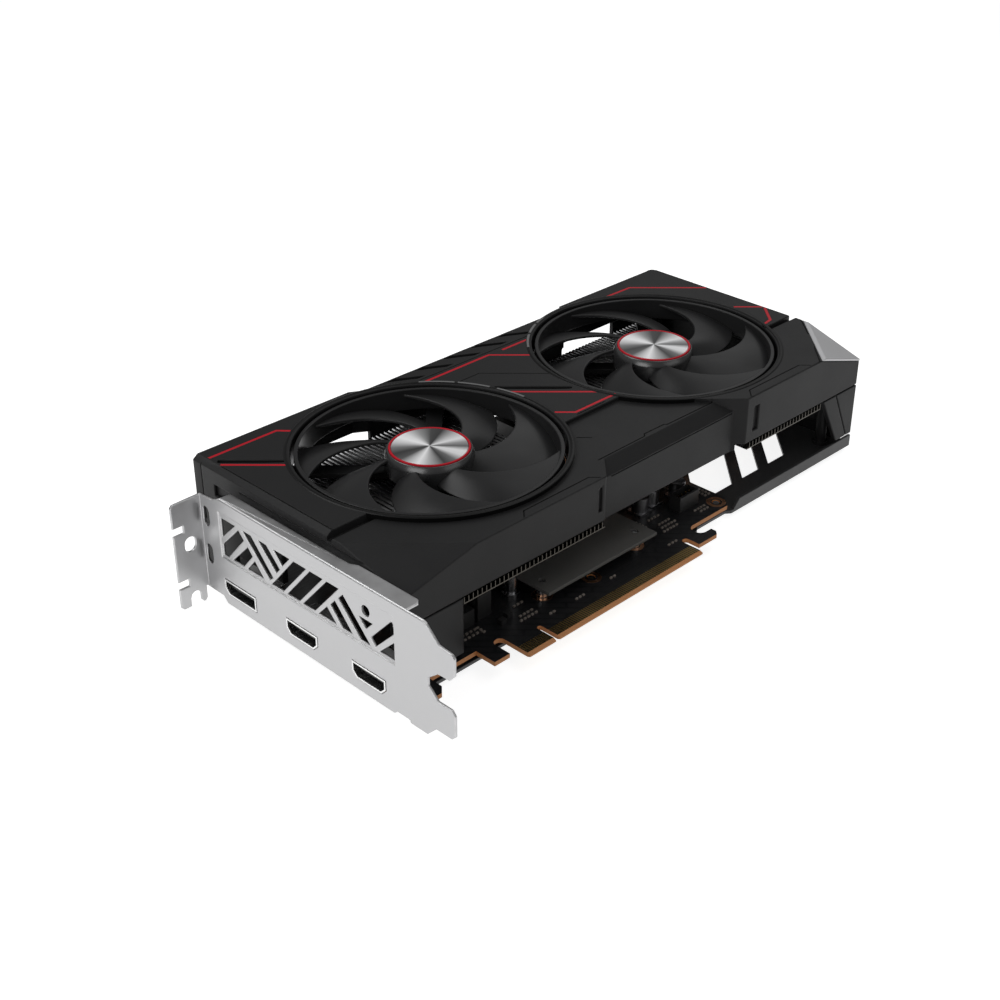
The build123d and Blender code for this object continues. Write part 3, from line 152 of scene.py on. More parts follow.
# light rubbing along the outer edges with a painted edge highlight, and the rounding of sharp edges
wearAndHighlight, wearIn, wearOut = newGroup(
    "edge wear and painted highlight",
    [("Radius", "NodeSocketFloat", 0.0004), ("Breakup Scale", "NodeSocketFloat", 260.0)],
    [("Mask", "NodeSocketFloat"), ("Normal", "NodeSocketVector")])
wearRound = addNode(wearAndHighlight, "ShaderNodeBevel", samples=4)
wearGeometry = addNode(wearAndHighlight, "ShaderNodeNewGeometry")
wearHighlightDot = addNode(wearAndHighlight, "ShaderNodeVectorMath", operation="DOT_PRODUCT")
wearHighlightRange = addNode(wearAndHighlight, "ShaderNodeMapRange")
wearHighlightRange.inputs["From Min"].default_value = 0.995
wearHighlightRange.inputs["From Max"].default_value = 0.88
wearCoord = addNode(wearAndHighlight, "ShaderNodeTexCoord")
wearNoise = addNode(wearAndHighlight, "ShaderNodeTexNoise", Detail=3.0)
wearBreak = addNode(wearAndHighlight, "ShaderNodeMapRange")
wearBreak.inputs["From Min"].default_value = 0.35
wearBreak.inputs["From Max"].default_value = 0.7
wearHighlightMask = addNode(wearAndHighlight, "ShaderNodeMath", operation="MULTIPLY")
link(wearAndHighlight, wearIn, "Radius", wearRound, "Radius")
wearAndHighlight.links.new(wearRound.outputs["Normal"], wearHighlightDot.inputs[0])
wearAndHighlight.links.new(wearGeometry.outputs["Normal"], wearHighlightDot.inputs[1])
wearAndHighlight.links.new(wearHighlightDot.outputs["Value"], wearHighlightRange.inputs["Value"])
link(wearAndHighlight, wearCoord, "Object", wearNoise, "Vector")
link(wearAndHighlight, wearIn, "Breakup Scale", wearNoise, "Scale")
link(wearAndHighlight, wearNoise, "Fac", wearBreak, "Value")
wearAndHighlight.links.new(wearHighlightRange.outputs["Result"], wearHighlightMask.inputs[0])
wearAndHighlight.links.new(wearBreak.outputs["Result"], wearHighlightMask.inputs[1])
link(wearAndHighlight, wearHighlightMask, "Value", wearOut, "Mask")
link(wearAndHighlight, wearRound, "Normal", wearOut, "Normal")


def placeGroup(tree, group, **values):
    node = tree.nodes.new("ShaderNodeGroup")
    node.node_tree = group
    for key, value in values.items():
        node.inputs[key.replace("_", " ")].default_value = value
    return node


def colourBlend(tree, mask, low, high):
    blend = addNode(tree, "ShaderNodeMix", data_type="RGBA")
    blend.inputs["A"].default_value = (*low, 1.0)
    blend.inputs["B"].default_value = (*high, 1.0)
    tree.links.new(mask, blend.inputs["Factor"])
    return blend


def valueRange(tree, source, low, high, fromLow=0.3, fromHigh=0.7):
    rangeNode = addNode(tree, "ShaderNodeMapRange")
    rangeNode.inputs["From Min"].default_value = fromLow
    rangeNode.inputs["From Max"].default_value = fromHigh
    rangeNode.inputs["To Min"].default_value = low
    rangeNode.inputs["To Max"].default_value = high
    tree.links.new(source, rangeNode.inputs["Value"])
    return rangeNode


# one finish: two close colours, a roughness range, fine grain, and edges painted lighter as rubbing wear and
# a painted edge highlight
def finish(name, low, high, rough, metal=0.0, grainScale=2600.0, mottle=60.0, bump=0.05, edge=None,
           edgeRadius=0.0004, specular=0.5, wearHighlightAmount=0.5):
    mat, tree = nodeTree(name)
    out = addNode(tree, "ShaderNodeOutputMaterial")
    shader = addNode(tree, "ShaderNodeBsdfPrincipled", Metallic=metal)
    shader.inputs["Specular IOR Level"].default_value = specular
    grainNode = placeGroup(tree, grain, Grain_Scale=grainScale, Mottle_Scale=mottle)
    base = colourBlend(tree, grainNode.outputs["Mottle"], low, high)
    roughNode = valueRange(tree, grainNode.outputs["Mottle"], rough[0], rough[1])
    bumpNode = addNode(tree, "ShaderNodeBump", Strength=bump, Distance=0.0002)
    link(tree, grainNode, "Height", bumpNode, "Height")
    colour = base.outputs["Result"]
    # edges mixed towards the lighter edge colour: rubbing wear and a painted edge highlight
    if edge:
        wearHighlightNode = placeGroup(tree, wearAndHighlight, Radius=edgeRadius)
        strength = addNode(tree, "ShaderNodeMath", operation="MULTIPLY")
        tree.links.new(wearHighlightNode.outputs["Mask"], strength.inputs[0])
        strength.inputs[1].default_value = wearHighlightAmount
        rubbedAndHighlit = addNode(tree, "ShaderNodeMix", data_type="RGBA")
        rubbedAndHighlit.inputs["B"].default_value = (*edge, 1.0)
        tree.links.new(strength.outputs["Value"], rubbedAndHighlit.inputs["Factor"])
        tree.links.new(colour, rubbedAndHighlit.inputs["A"])
        colour = rubbedAndHighlit.outputs["Result"]
        link(tree, wearHighlightNode, "Normal", bumpNode, "Normal")
    tree.links.new(colour, shader.inputs["Base Color"])
    link(tree, roughNode, "Result", shader, "Roughness")
    link(tree, bumpNode, "Normal", shader, "Normal")
    link(tree, shader, "BSDF", out, "Surface")
    return mat


# each lighter edge colour below is rubbing wear and a painted edge highlight
shroudBlack = finish("shroud black", (0.0125, 0.0125, 0.0128), (0.0160, 0.0160, 0.0164), (0.38, 0.46),
                     bump=0.09, edge=(0.045, 0.045, 0.045), grainScale=3200.0, specular=0.14)
fanBlack = finish("fan black", (0.0120, 0.0120, 0.0124), (0.0150, 0.0150, 0.0154), (0.30, 0.38), bump=0.03,
                  edge=(0.04, 0.04, 0.04), grainScale=2400.0, specular=0.24)
hubBlack = finish("hub black", (0.020, 0.020, 0.0205), (0.025, 0.025, 0.0255), (0.22, 0.28), bump=0.02,
                  specular=0.9)
# light grey of the painted highlight strips on the fans' lips
highlightGrey = finish("painted highlight grey", (0.120, 0.120, 0.121), (0.145, 0.145, 0.146), (0.36, 0.44), bump=0.03,
                   specular=0.3)
bezelBlack = finish("bezel black", (0.0035, 0.0035, 0.0036), (0.0045, 0.0045, 0.0046), (0.30, 0.38),
                    bump=0.03, specular=0.14)
redInlay = finish("red inlay", (0.40, 0.003, 0.013), (0.47, 0.005, 0.017), (0.34, 0.42), bump=0.02,
                  specular=0.2)
silverTrim = finish("silver-grey trim", (0.52, 0.52, 0.53), (0.58, 0.58, 0.59), (0.36, 0.46), metal=0.5,
                    bump=0.05, edge=(0.6, 0.6, 0.6))
plateNickel = finish("nickel plate", (0.45, 0.45, 0.455), (0.52, 0.52, 0.525), (0.34, 0.44), metal=1.0,
                     mottle=140.0, bump=0.04, edge=(0.85, 0.85, 0.85), edgeRadius=0.0005, wearHighlightAmount=0.8)
sleeveMetal = finish("sleeve metal", (0.74, 0.74, 0.74), (0.84, 0.84, 0.84), (0.22, 0.32), metal=1.0,
                     edge=(0.85, 0.85, 0.85), edgeRadius=0.0002)
screwMetal = finish("screw metal", (0.42, 0.42, 0.43), (0.55, 0.55, 0.56), (0.25, 0.35), metal=1.0)
goldPlate = finish("gold plate", (0.60, 0.42, 0.16), (0.70, 0.50, 0.20), (0.24, 0.34), metal=1.0, bump=0.02)
bareCopper = finish("bare copper", (0.72, 0.36, 0.20), (0.80, 0.44, 0.26), (0.22, 0.36), metal=1.0, bump=0.03,
                    mottle=90.0)
finAluminium = finish("fin aluminium", (0.42, 0.42, 0.425), (0.48, 0.48, 0.485), (0.30, 0.40), metal=1.0,
                      bump=0.03, edge=(0.6, 0.6, 0.6), edgeRadius=0.00015, wearHighlightAmount=0.9)
# painted shade: the fins are darker along the side at low y, near the shroud's side wall, up to where they
# turn bright
finEndShade = {"shadeTo": -0.0358, "shadeClearFrom": -0.0350, "colour": (0.085, 0.078, 0.068)}
tree = finAluminium.node_tree
shader = next(node for node in tree.nodes if node.type == "BSDF_PRINCIPLED")
coord = addNode(tree, "ShaderNodeTexCoord")
split = addNode(tree, "ShaderNodeSeparateXYZ")
link(tree, coord, "Object", split, "Vector")
finShadeRange = valueRange(tree, split.outputs["Y"], 0.0, 1.0, finEndShade["shadeTo"], finEndShade["shadeClearFrom"])
finShadeColour = addNode(tree, "ShaderNodeMix", data_type="RGBA")
finShadeColour.inputs["A"].default_value = (*finEndShade["colour"], 1.0)
link(tree, finShadeRange, "Result", finShadeColour, "Factor")
tree.links.new(shader.inputs["Base Color"].links[0].from_socket, finShadeColour.inputs["B"])
link(tree, finShadeColour, "Result", shader, "Base Color")
machinedPlate = finish("machined plate", (0.46, 0.46, 0.48), (0.56, 0.56, 0.58), (0.22, 0.34), metal=1.0)
darkPlate = finish("dark coated plate", (0.030, 0.030, 0.031), (0.040, 0.040, 0.041), (0.40, 0.52),
                   bump=0.12, edge=(0.12, 0.12, 0.12), grainScale=1800.0)
framePlate = finish("cooling frame", (0.078, 0.076, 0.072), (0.096, 0.094, 0.089), (0.44, 0.54), bump=0.10,
                    edge=(0.14, 0.14, 0.13))
socketPlastic = finish("socket plastic", (0.012, 0.012, 0.012), (0.017, 0.017, 0.017), (0.40, 0.50),
                       bump=0.06)
packageBlack = finish("chip package", (0.018, 0.018, 0.019), (0.026, 0.026, 0.027), (0.45, 0.55), bump=0.10)
carrierGreen = finish("chip carrier", (0.020, 0.060, 0.036), (0.028, 0.080, 0.048), (0.35, 0.45))
polishedDie = finish("polished die", (0.05, 0.055, 0.065), (0.08, 0.085, 0.10), (0.05, 0.10), metal=0.6)
ceramicTan = finish("ceramic parts", (0.10, 0.065, 0.04), (0.34, 0.32, 0.30), (0.30, 0.42), mottle=900.0)
chokeGrey = finish("choke grey", (0.045, 0.045, 0.048), (0.062, 0.062, 0.065), (0.42, 0.52), bump=0.14)
canAluminium = finish("can aluminium", (0.30, 0.30, 0.31), (0.38, 0.38, 0.39), (0.26, 0.36), metal=1.0)
softPad = finish("soft pad", (0.30, 0.33, 0.37), (0.36, 0.39, 0.43), (0.6, 0.75), bump=0.15)
windingCopper = finish("winding copper", (0.50, 0.22, 0.10), (0.60, 0.28, 0.14), (0.30, 0.42), metal=0.9)
print("finishes made")

# board: black mask with faint tracks, orange-brown where the laminate is cut
boardLook, tree = nodeTree("board laminate")
out = addNode(tree, "ShaderNodeOutputMaterial")
shader = addNode(tree, "ShaderNodeBsdfPrincipled")
shader.inputs["Specular IOR Level"].default_value = 0.5
coord = addNode(tree, "ShaderNodeTexCoord")
geometry = addNode(tree, "ShaderNodeNewGeometry")
splitNormal = addNode(tree, "ShaderNodeSeparateXYZ")
link(tree, geometry, "Normal", splitNormal, "Vector")
flat = addNode(tree, "ShaderNodeMath", operation="ABSOLUTE")
tree.links.new(splitNormal.outputs["Z"], flat.inputs[0])
cutEdge = valueRange(tree, flat.outputs["Value"], 1.0, 0.0, 0.95, 0.985)
tracks = addNode(tree, "ShaderNodeTexBrick", offset=0.37, squash=1.0)
tracks.inputs["Scale"].default_value = 130.0
tracks.inputs["Mortar Size"].default_value = 0.035
tracks.inputs["Brick Width"].default_value = 1.7
tracks.inputs["Row Height"].default_value = 0.23
turned = addNode(tree, "ShaderNodeMapping")
turned.inputs["Rotation"].default_value = (0.0, 0.0, math.radians(45.0))
tracksTurned = addNode(tree, "ShaderNodeTexBrick", offset=0.61, squash=1.0)
tracksTurned.inputs["Scale"].default_value = 100.0
tracksTurned.inputs["Mortar Size"].default_value = 0.05
tracksTurned.inputs["Brick Width"].default_value = 2.3
tracksTurned.inputs["Row Height"].default_value = 0.31
link(tree, coord, "Object", tracks, "Vector")
link(tree, coord, "Object", turned, "Vector")
link(tree, turned, "Vector", tracksTurned, "Vector")
areas = addNode(tree, "ShaderNodeTexVoronoi", feature="F1", distance="CHEBYCHEV", Scale=70.0)
link(tree, coord, "Object", areas, "Vector")
areaPick = valueRange(tree, areas.outputs["Color"], 0.0, 1.0, 0.45, 0.5)
height = addNode(tree, "ShaderNodeMix", data_type="FLOAT")
tree.links.new(areaPick.outputs["Result"], height.inputs["Factor"])
tree.links.new(tracks.outputs["Fac"], height.inputs["A"])
tree.links.new(tracksTurned.outputs["Fac"], height.inputs["B"])
maskColour = colourBlend(tree, height.outputs["Result"], (0.013, 0.013, 0.014), (0.006, 0.006, 0.007))
boardColour = addNode(tree, "ShaderNodeMix", data_type="RGBA")
boardColour.inputs["B"].default_value = (0.52, 0.22, 0.075, 1.0)
link(tree, cutEdge, "Result", boardColour, "Factor")
link(tree, maskColour, "Result", boardColour, "A")
boardRough = valueRange(tree, cutEdge.outputs["Result"], 0.30, 0.60, 0.0, 1.0)
boardBump = addNode(tree, "ShaderNodeBump", Strength=0.25, Distance=0.0001)
link(tree, height, "Result", boardBump, "Height")
link(tree, boardColour, "Result", shader, "Base Color")
link(tree, boardRough, "Result", shader, "Roughness")
link(tree, boardBump, "Normal", shader, "Normal")
link(tree, shader, "BSDF", out, "Surface")

# badge: a disc turned on a lathe, with a painted highlight: bright along two fans of light
badgeLook, tree = nodeTree("turned disc, painted highlight")
out = addNode(tree, "ShaderNodeOutputMaterial")
shader = addNode(tree, "ShaderNodeBsdfPrincipled", Metallic=0.15)
shader.inputs["Anisotropic"].default_value = 0.6
uvRing = addNode(tree, "ShaderNodeUVMap", uv_map="turning")
rings = addNode(tree, "ShaderNodeTexNoise", Scale=1.0, Detail=4.0, Roughness=0.7)
stretch = addNode(tree, "ShaderNodeMapping")
stretch.inputs["Scale"].default_value = (1.5, 260.0, 1.0)
link(tree, uvRing, "UV", stretch, "Vector")
link(tree, stretch, "Vector", rings, "Vector")
turnSplit = addNode(tree, "ShaderNodeSeparateXYZ")
turnWrap = addNode(tree, "ShaderNodeMath", operation="FRACT")
link(tree, uvRing, "UV", turnSplit, "Vector")
tree.links.new(turnSplit.outputs["X"], turnWrap.inputs[0])
# painted highlight: light and dark sectors round the disc, as (turn in degrees, brightness)
highlightSectors = [(0, 0.60), (27, 0.02), (45, 0.05), (67, 0.33), (90, 0.88), (105, 1.00), (122, 0.67),
           (140, 0.20), (160, 0.03), (180, 0.08), (195, 0.56), (210, 0.97), (225, 0.52), (250, 0.03),
           (268, 0.15), (285, 0.80), (299, 0.88), (315, 0.12), (330, 0.34), (345, 0.87), (360, 0.60)]
highlightRamp = addNode(tree, "ShaderNodeValToRGB")
while len(highlightRamp.color_ramp.elements) < len(highlightSectors):
    highlightRamp.color_ramp.elements.new(0.5)
for stop, (degrees, level) in zip(highlightRamp.color_ramp.elements, highlightSectors):
    stop.position = degrees / 360
    stop.color = (level, level, level * 1.01, 1.0)
link(tree, turnWrap, "Value", highlightRamp, "Fac")
ringShade = colourBlend(tree, rings.outputs["Fac"], (0.88, 0.88, 0.88), (1.0, 1.0, 1.0))
# painted highlight sectors times the tone of the turning rings
ringsAndHighlight = addNode(tree, "ShaderNodeMix", data_type="RGBA", blend_type="MULTIPLY")
ringsAndHighlight.inputs["Factor"].default_value = 1.0
link(tree, highlightRamp, "Color", ringsAndHighlight, "A")
link(tree, ringShade, "Result", ringsAndHighlight, "B")
ringRough = valueRange(tree, rings.outputs["Fac"], 0.32, 0.46)
along = addNode(tree, "ShaderNodeTangent", direction_type="UV_MAP", uv_map="turning")
ringBump = addNode(tree, "ShaderNodeBump", Strength=0.08, Distance=0.0001)
link(tree, rings, "Fac", ringBump, "Height")
link(tree, ringsAndHighlight, "Result", shader, "Base Color")
link(tree, ringRough, "Result", shader, "Roughness")
link(tree, ringBump, "Normal", shader, "Normal")
link(tree, along, "Tangent", shader, "Tangent")
link(tree, shader, "BSDF", out, "Surface")

# the look that each CAD node wears
looksByNodes = [
    (boardLook, "circuit_board"),
    (goldPlate, "edge_contacts fan_header_pins power_pins"),
    (bareCopper, "ground_rings heat_pipes"),
    (plateNickel, "io_bracket gpu_brace"),
    (screwMetal, "bracket_screws frame_posts cooler_posts spring_screws backplate_screws fan_screws"),
    (sleeveMetal, "displayport_shell hdmi_shells"),
    (socketPlastic, "displayport_core hdmi_cores front_connectors fan_header power_socket"),
    (carrierGreen, "gpu_substrate"),
    (polishedDie, "gpu_die"),
    (packageBlack, "memory_chips power_drivers"),
    (softPad, "thermal_pads"),
    (chokeGrey, "power_chokes"),
    (canAluminium, "capacitors"),
    (ceramicTan, "ceramic_parts"),
    (framePlate, "cooling_frame"),
    (machinedPlate, "cold_plate"),
    (finAluminium, "front_fin_stack rear_fin_stack"),
    (darkPlate, "backplate"),
    (shroudBlack, "shroud shroud_front_cover shroud_end_cover"),
    (silverTrim, "corner_trim"),
    (redInlay, "accent_lines"),
]
looks = {name: look for look, names in looksByNodes for name in names.split()}
for end in ("front", "rear"):
    looks.update({
        end + "_fan_frame": fanBlack, end + "_fan_stator": windingCopper, end + "_fan_bearing": goldPlate,
        end + "_fan_shaft": screwMetal, end + "_fan_rotor": fanBlack, end + "_fan_badge": badgeLook,
        end + "_badge_ring": redInlay})


def dress(thing, look):
    thing.data.materials.clear()
    thing.data.materials.append(look)


for name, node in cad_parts.items():
    dress(node, looks[name])
print("nodes dressed")


# shades faces smooth except across edges sharper than the angle
def smoothBelow(bm, degrees):
    limit = math.radians(degrees)
    for face in bm.faces:
        face.smooth = True
    for edge in bm.edges:
        edge.smooth = len(edge.link_faces) == 2 and edge.calc_face_angle(0.0) < limit


# closes a bmesh into a dressed piece on its body, with its edges rounded if asked
def finished(bm, name, look, body, stands=(), sharp=35.0, bevel=0.0, segments=2):
    bmesh.ops.remove_doubles(bm, verts=bm.verts, dist=1e-6)
    bmesh.ops.recalc_face_normals(bm, faces=bm.faces)
    smoothBelow(bm, sharp)
    data = bpy.data.meshes.new(name)
    bm.to_mesh(data)
    bm.free()
    piece = bpy.data.objects.new(name, data)
    bpy.context.scene.collection.objects.link(piece)
    dress(piece, look)
    if bevel:
        rounding = piece.modifiers.new("rounding", "BEVEL")
        rounding.width = bevel * mm
        rounding.segments = segments
        rounding.limit_method = "ANGLE"
        rounding.angle_limit = math.radians(sharp)
        rounding.use_clamp_overlap = False
        rounding.harden_normals = True
    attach(piece, body)
    if stands:
        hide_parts(*stands)
    return piece


# a merged copy of a CAD node, with the long outer edges of its walls rounded, except inside the spared boxes
def roundedCopy(node, name, look, body, width, wall=1.2, shortest=2.0, segments=2, spared=()):
    bm = bmesh.new()
    bm.from_mesh(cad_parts[node].data)
    bmesh.ops.remove_doubles(bm, verts=bm.verts, dist=2e-6)

    def tallEnough(face):
        if abs(face.normal.z) > 0.9:
            return True
        heights = [vert.co.z for vert in face.verts]
        return max(heights) - min(heights) > wall * mm

    def isSpared(edge):
        spot = (edge.verts[0].co + edge.verts[1].co) / 2 - cardOrigin
        return any(all(low * mm < value < high * mm for value, low, high in zip(spot, box[0::2], box[1::2]))
                   for box in spared)

    chosen = [edge for edge in bm.edges if len(edge.link_faces) == 2 and edge.is_convex
              and math.radians(30.0) < edge.calc_face_angle(0.0) < math.radians(100.0)
              and edge.calc_length() > shortest * mm and not isSpared(edge)
              and all(tallEnough(face) for face in edge.link_faces)]
    bmesh.ops.bevel(bm, geom=chosen, offset=width * mm, offset_type="OFFSET", segments=segments, profile=0.5,
                    affect="EDGES", material=-1, clamp_overlap=False)
    return finished(bm, name, look, body, stands=(node,), sharp=12.0)


# a closed ring or cup turned about an upright axis from its outline of (radius, height) points
def turnedShape(bm, centre, outline, steps=96):
    verts = [bm.verts.new(centre + Vector((r * mm, 0, z * mm))) for r, z in outline]
    edges = [bm.edges.new((verts[i], verts[(i + 1) % len(verts)])) for i in range(len(verts))]
    bmesh.ops.spin(bm, geom=verts + edges, cent=centre, axis=(0, 0, 1), angle=math.tau, steps=steps,
                   use_merge=True)
    bmesh.ops.remove_doubles(bm, verts=bm.verts, dist=1e-6)


# a stretch of such a ring between two turns in degrees, closed at both ends
def arcShape(bm, centre, outline, start, stop, steps=24):
    turn = Matrix.Rotation(math.radians(start), 4, "Z")
    verts = [bm.verts.new(centre + turn @ Vector((r * mm, 0, z * mm))) for r, z in outline]
    face = bm.faces.new(verts)
    bmesh.ops.spin(bm, geom=[face] + list(face.edges) + verts, cent=centre, axis=(0, 0, 1),
                   angle=math.radians(stop - start), steps=steps)


# both fans, in card millimetres and degrees: outlines are (radius, height) points
fanShape = {
    "centres": {"front": 67.1, "rear": 182.3}, "y": 67.6, "turns": {"front": 0.0, "rear": -22.4},
    "top": 41.2, "ring": (43.6, 45.0), "ringHeight": 8.0,
    "hub": 15.3, "hubWall": 1.4, "hubFoot": 32.9, "hubTop": 40.9, "hubSlope": 38.6, "hubMouth": 14.2,
    "bore": 1.52, "roof": 2.6, "seat": 1.0, "seatRadius": 13.86,
    "badge": 13.0, "badgeFit": 0.02, "badgeEdge": 0.25, "badgeRing": 13.8, "ringRise": 0.08,
    "blades": 7, "bladeGrid": (20, 14), "roots": (14.6, 44.2), "edges": (34.5, 39.5), "thickness": 1.15,
    "camber": 0.9, "lowTurns": (-22.0, -9.5, 4.0, 17.5), "highTurns": (4.5, 22.0, 40.0, 60.5),
    "lip": [(45.95, 35.0), (46.35, 35.0), (47.0, 40.2), (48.2, 40.2), (48.35, 41.8), (48.1, 42.0),
            (47.5, 42.1), (46.9, 42.0), (46.45, 41.6), (46.1, 40.8)],
    # light grey strips on the lip are painted highlight arcs, as (start, stop) turns for each fan
    "strip": [(47.2, 41.9), (48.1, 41.9), (48.1, 42.08), (47.95, 42.2), (47.35, 42.2), (47.2, 42.12)],
    "strips": {"front": ((3.0, 17.0), (20.5, 35.0), (36.5, 52.0)),
               "rear": ((105.0, 112.0), (114.0, 124.0), (126.0, 140.0))},
}


# the value at t from 0 to 1 along evenly spaced values
def spread(values, t):
    spot = min(max(t, 0.0), 1.0) * (len(values) - 1)
    i = min(int(spot), len(values) - 2)
    ease = spot - i
    return values[i] * (1 - ease) + values[i + 1] * ease


# one swept blade, laid out between its low and its high edge and then given its thickness
def bladeShape(bm, centre, turn):
    shape = fanShape
    along, across = shape["bladeGrid"]
    made = bmesh.ops.create_grid(bm, x_segments=along, y_segments=across, size=1.0)
    verts = made["verts"]
    for vert in verts:
        t = (vert.co.x + 1) / 2
        rise = (vert.co.y + 1) / 2
        radius = shape["roots"][0] + (shape["roots"][1] - shape["roots"][0]) * t
        low, high = spread(shape["lowTurns"], t), spread(shape["highTurns"], t)
        angle = math.radians(turn + low + (high - low) * rise)
        lift = shape["camber"] * math.sin(math.pi * rise)
        z = shape["edges"][0] + (shape["edges"][1] - shape["edges"][0]) * rise + lift
        vert.co = centre + Vector((radius * math.cos(angle), radius * math.sin(angle), z)) * mm
    faces = list({face for vert in verts for face in vert.link_faces})
    bmesh.ops.recalc_face_normals(bm, faces=faces)
    if sum(face.normal.z for face in faces) < 0:
        bmesh.ops.reverse_faces(bm, faces=faces)
    bmesh.ops.solidify(bm, geom=faces, thickness=shape["thickness"] * mm)


for end, fanX in fanShape["centres"].items():
    shape = fanShape
    axisFoot = atCard(fanX, shape["y"], 0)
    body = end + "_fan"
    rotor = (end + "_fan_rotor",)
    top = shape["top"]
    # ring round the blade tips
    bm = bmesh.new()
    inner, outer = shape["ring"]
    foot = top - shape["ringHeight"]
    turnedShape(bm, axisFoot, [(inner, foot), (outer, foot), (outer, top), (inner, top)], steps=128)
    finished(bm, end + "FanRing", fanBlack, body, stands=rotor, bevel=0.25)
    # hub: a cup with a sloped shoulder and a seat for the badge
    bm = bmesh.new()
    hub, slope, mouth, mouthTop = shape["hub"], shape["hubSlope"], shape["hubMouth"], shape["hubTop"]
    inside, bore, roof, seat = hub - shape["hubWall"], shape["bore"], top - shape["roof"], top - shape["seat"]
    hubOutline = [(bore, roof), (inside, roof), (inside, shape["hubFoot"]), (hub, shape["hubFoot"]),
                  (hub, slope - 0.2), (hub - 0.08, slope + 0.3), (mouth + 0.2, mouthTop - 0.2),
                  (mouth, mouthTop), (shape["seatRadius"], mouthTop), (shape["seatRadius"], seat),
                  (bore, seat)]
    turnedShape(bm, axisFoot, hubOutline)
    finished(bm, end + "FanHub", hubBlack, body, stands=rotor, bevel=0.15)
    # blades
    bm = bmesh.new()
    for i in range(shape["blades"]):
        bladeShape(bm, axisFoot, shape["turns"][end] + i * 360 / shape["blades"])
    finished(bm, end + "FanBlades", fanBlack, body, stands=rotor, sharp=60.0, bevel=0.4, segments=3)
    # badge, slightly domed, with its turning laid out as a UV map
    bm = bmesh.new()
    badge, fit = shape["badge"], shape["badgeFit"]
    rim = badge - fit
    turnedShape(bm, axisFoot, [(fit, seat), (rim, seat), (rim, top - 0.22), (badge - shape["badgeEdge"], top),
                               (8.0, top + 0.12), (3.0, top + 0.16), (fit, top + 0.17)])
    uvLayer = bm.loops.layers.uv.new("turning")
    for face in bm.faces:
        middle = face.calc_center_median() - axisFoot
        faceAngle = math.atan2(middle.y, middle.x)
        for loop in face.loops:
            spot = loop.vert.co - axisFoot
            angle = math.atan2(spot.y, spot.x)
            while angle - faceAngle > math.pi:
                angle -= math.tau
            while angle - faceAngle < -math.pi:
                angle += math.tau
            loop[uvLayer].uv = (angle / math.tau, math.hypot(spot.x, spot.y) / (badge * mm))
    finished(bm, end + "Badge", badgeLook, body, stands=(end + "_fan_badge",))
    # red ring round the badge
    bm = bmesh.new()
    ringInner, ringOuter, ringTop = badge + fit, shape["badgeRing"], top + shape["ringRise"]
    turnedShape(bm, axisFoot, [(ringInner, seat), (ringOuter, seat), (ringOuter, top - 0.1),
                               (ringOuter - 0.15, ringTop), (badge + 0.15, ringTop), (ringInner, top - 0.1)])
    finished(bm, end + "BadgeRing", redInlay, body, stands=(end + "_badge_ring",))
    # raised lip round the fan's well, with light grey strips on it as painted highlights
    bm = bmesh.new()
    turnedShape(bm, axisFoot, shape["lip"], steps=128)
    finished(bm, end + "Bezel", bezelBlack, "card")
    bm = bmesh.new()
    for start, stop in shape["strips"][end]:
        arcShape(bm, axisFoot, shape["strip"], start, stop)
    finished(bm, end + "LipHighlights", highlightGrey, "card")
print("fans made")

# shells with rounded outer edges; the shroud's close seams stay sharp: x, y and z ranges on the card
closeSeams = [
    (96, 168, 10, 26, 30, 45),
    (6, 11, 46, 106, 38, 45),
    (176, 188, 110, 119, 36, 45),
    (236, 241, 40, 92, 38, 45),
]
roundedCopy("shroud", "Shroud", shroudBlack, "card", width=0.4, spared=closeSeams)
roundedCopy("io_bracket", "Bracket", plateNickel, "card", width=0.25, wall=0.0)
roundedCopy("shroud_front_cover", "FrontCover", shroudBlack, "card", width=0.3)
roundedCopy("shroud_end_cover", "EndCover", shroudBlack, "card", width=0.3)
roundedCopy("corner_trim", "CornerTrim", silverTrim, "card", width=0.15, wall=0.0)


# an upright block of one size on the card
def block(bm, middle, size):
    place = Matrix.Translation(middle) @ Matrix.Diagonal(Vector(size) * mm).to_4x4()
    bmesh.ops.create_cube(bm, size=1.0, matrix=place)


# the shroud's outer lip past the slanted ribs, and the end cover's foot on the backplate: two corners each
shellEdges = {
    "ShroudLip": ((82.0, 113.55, 40.6), (155.0, 114.18, 41.78)),
    "EndCoverFoot": ((238.3, 17.6, -1.75), (239.7, 114.7, 3.2)),
}
for name, (low, high) in shellEdges.items():
    bm = bmesh.new()
    block(bm, (atCard(*low) + atCard(*high)) / 2, Vector(high) - Vector(low))
    finished(bm, name, shroudBlack, "card")
print("shells rounded")

# sockets in the bracket: middle, width and height of each mouth, which corners are cut, height of its tongue
socketShape = {
    "mouths": [(86.6, 16.4, 5.4, (True, False), 4.2), (55.0, 15.2, 5.5, (True, True), 4.6),
               (23.1, 15.2, 5.5, (True, True), 4.6)],
    "foot": 1.7, "cut": 2.0, "front": -0.12, "rim": 0.55, "rimDepth": 0.5,
    "contacts": 9, "pitch": 1.05, "contact": (3.0, 0.45, 0.14), "contactX": 2.6, "contactRise": 1.26,
}


def socketCorners(middle, width, height, cuts):
    foot, cut = socketShape["foot"], socketShape["cut"]
    left, right, top = middle + width / 2, middle - width / 2, foot + height
    corners = [(left, foot + cut), (left - cut, foot)] if cuts[0] else [(left, foot)]
    corners += [(right + cut, foot), (right, foot + cut)] if cuts[1] else [(right, foot)]
    return corners + [(right, top), (left, top)]


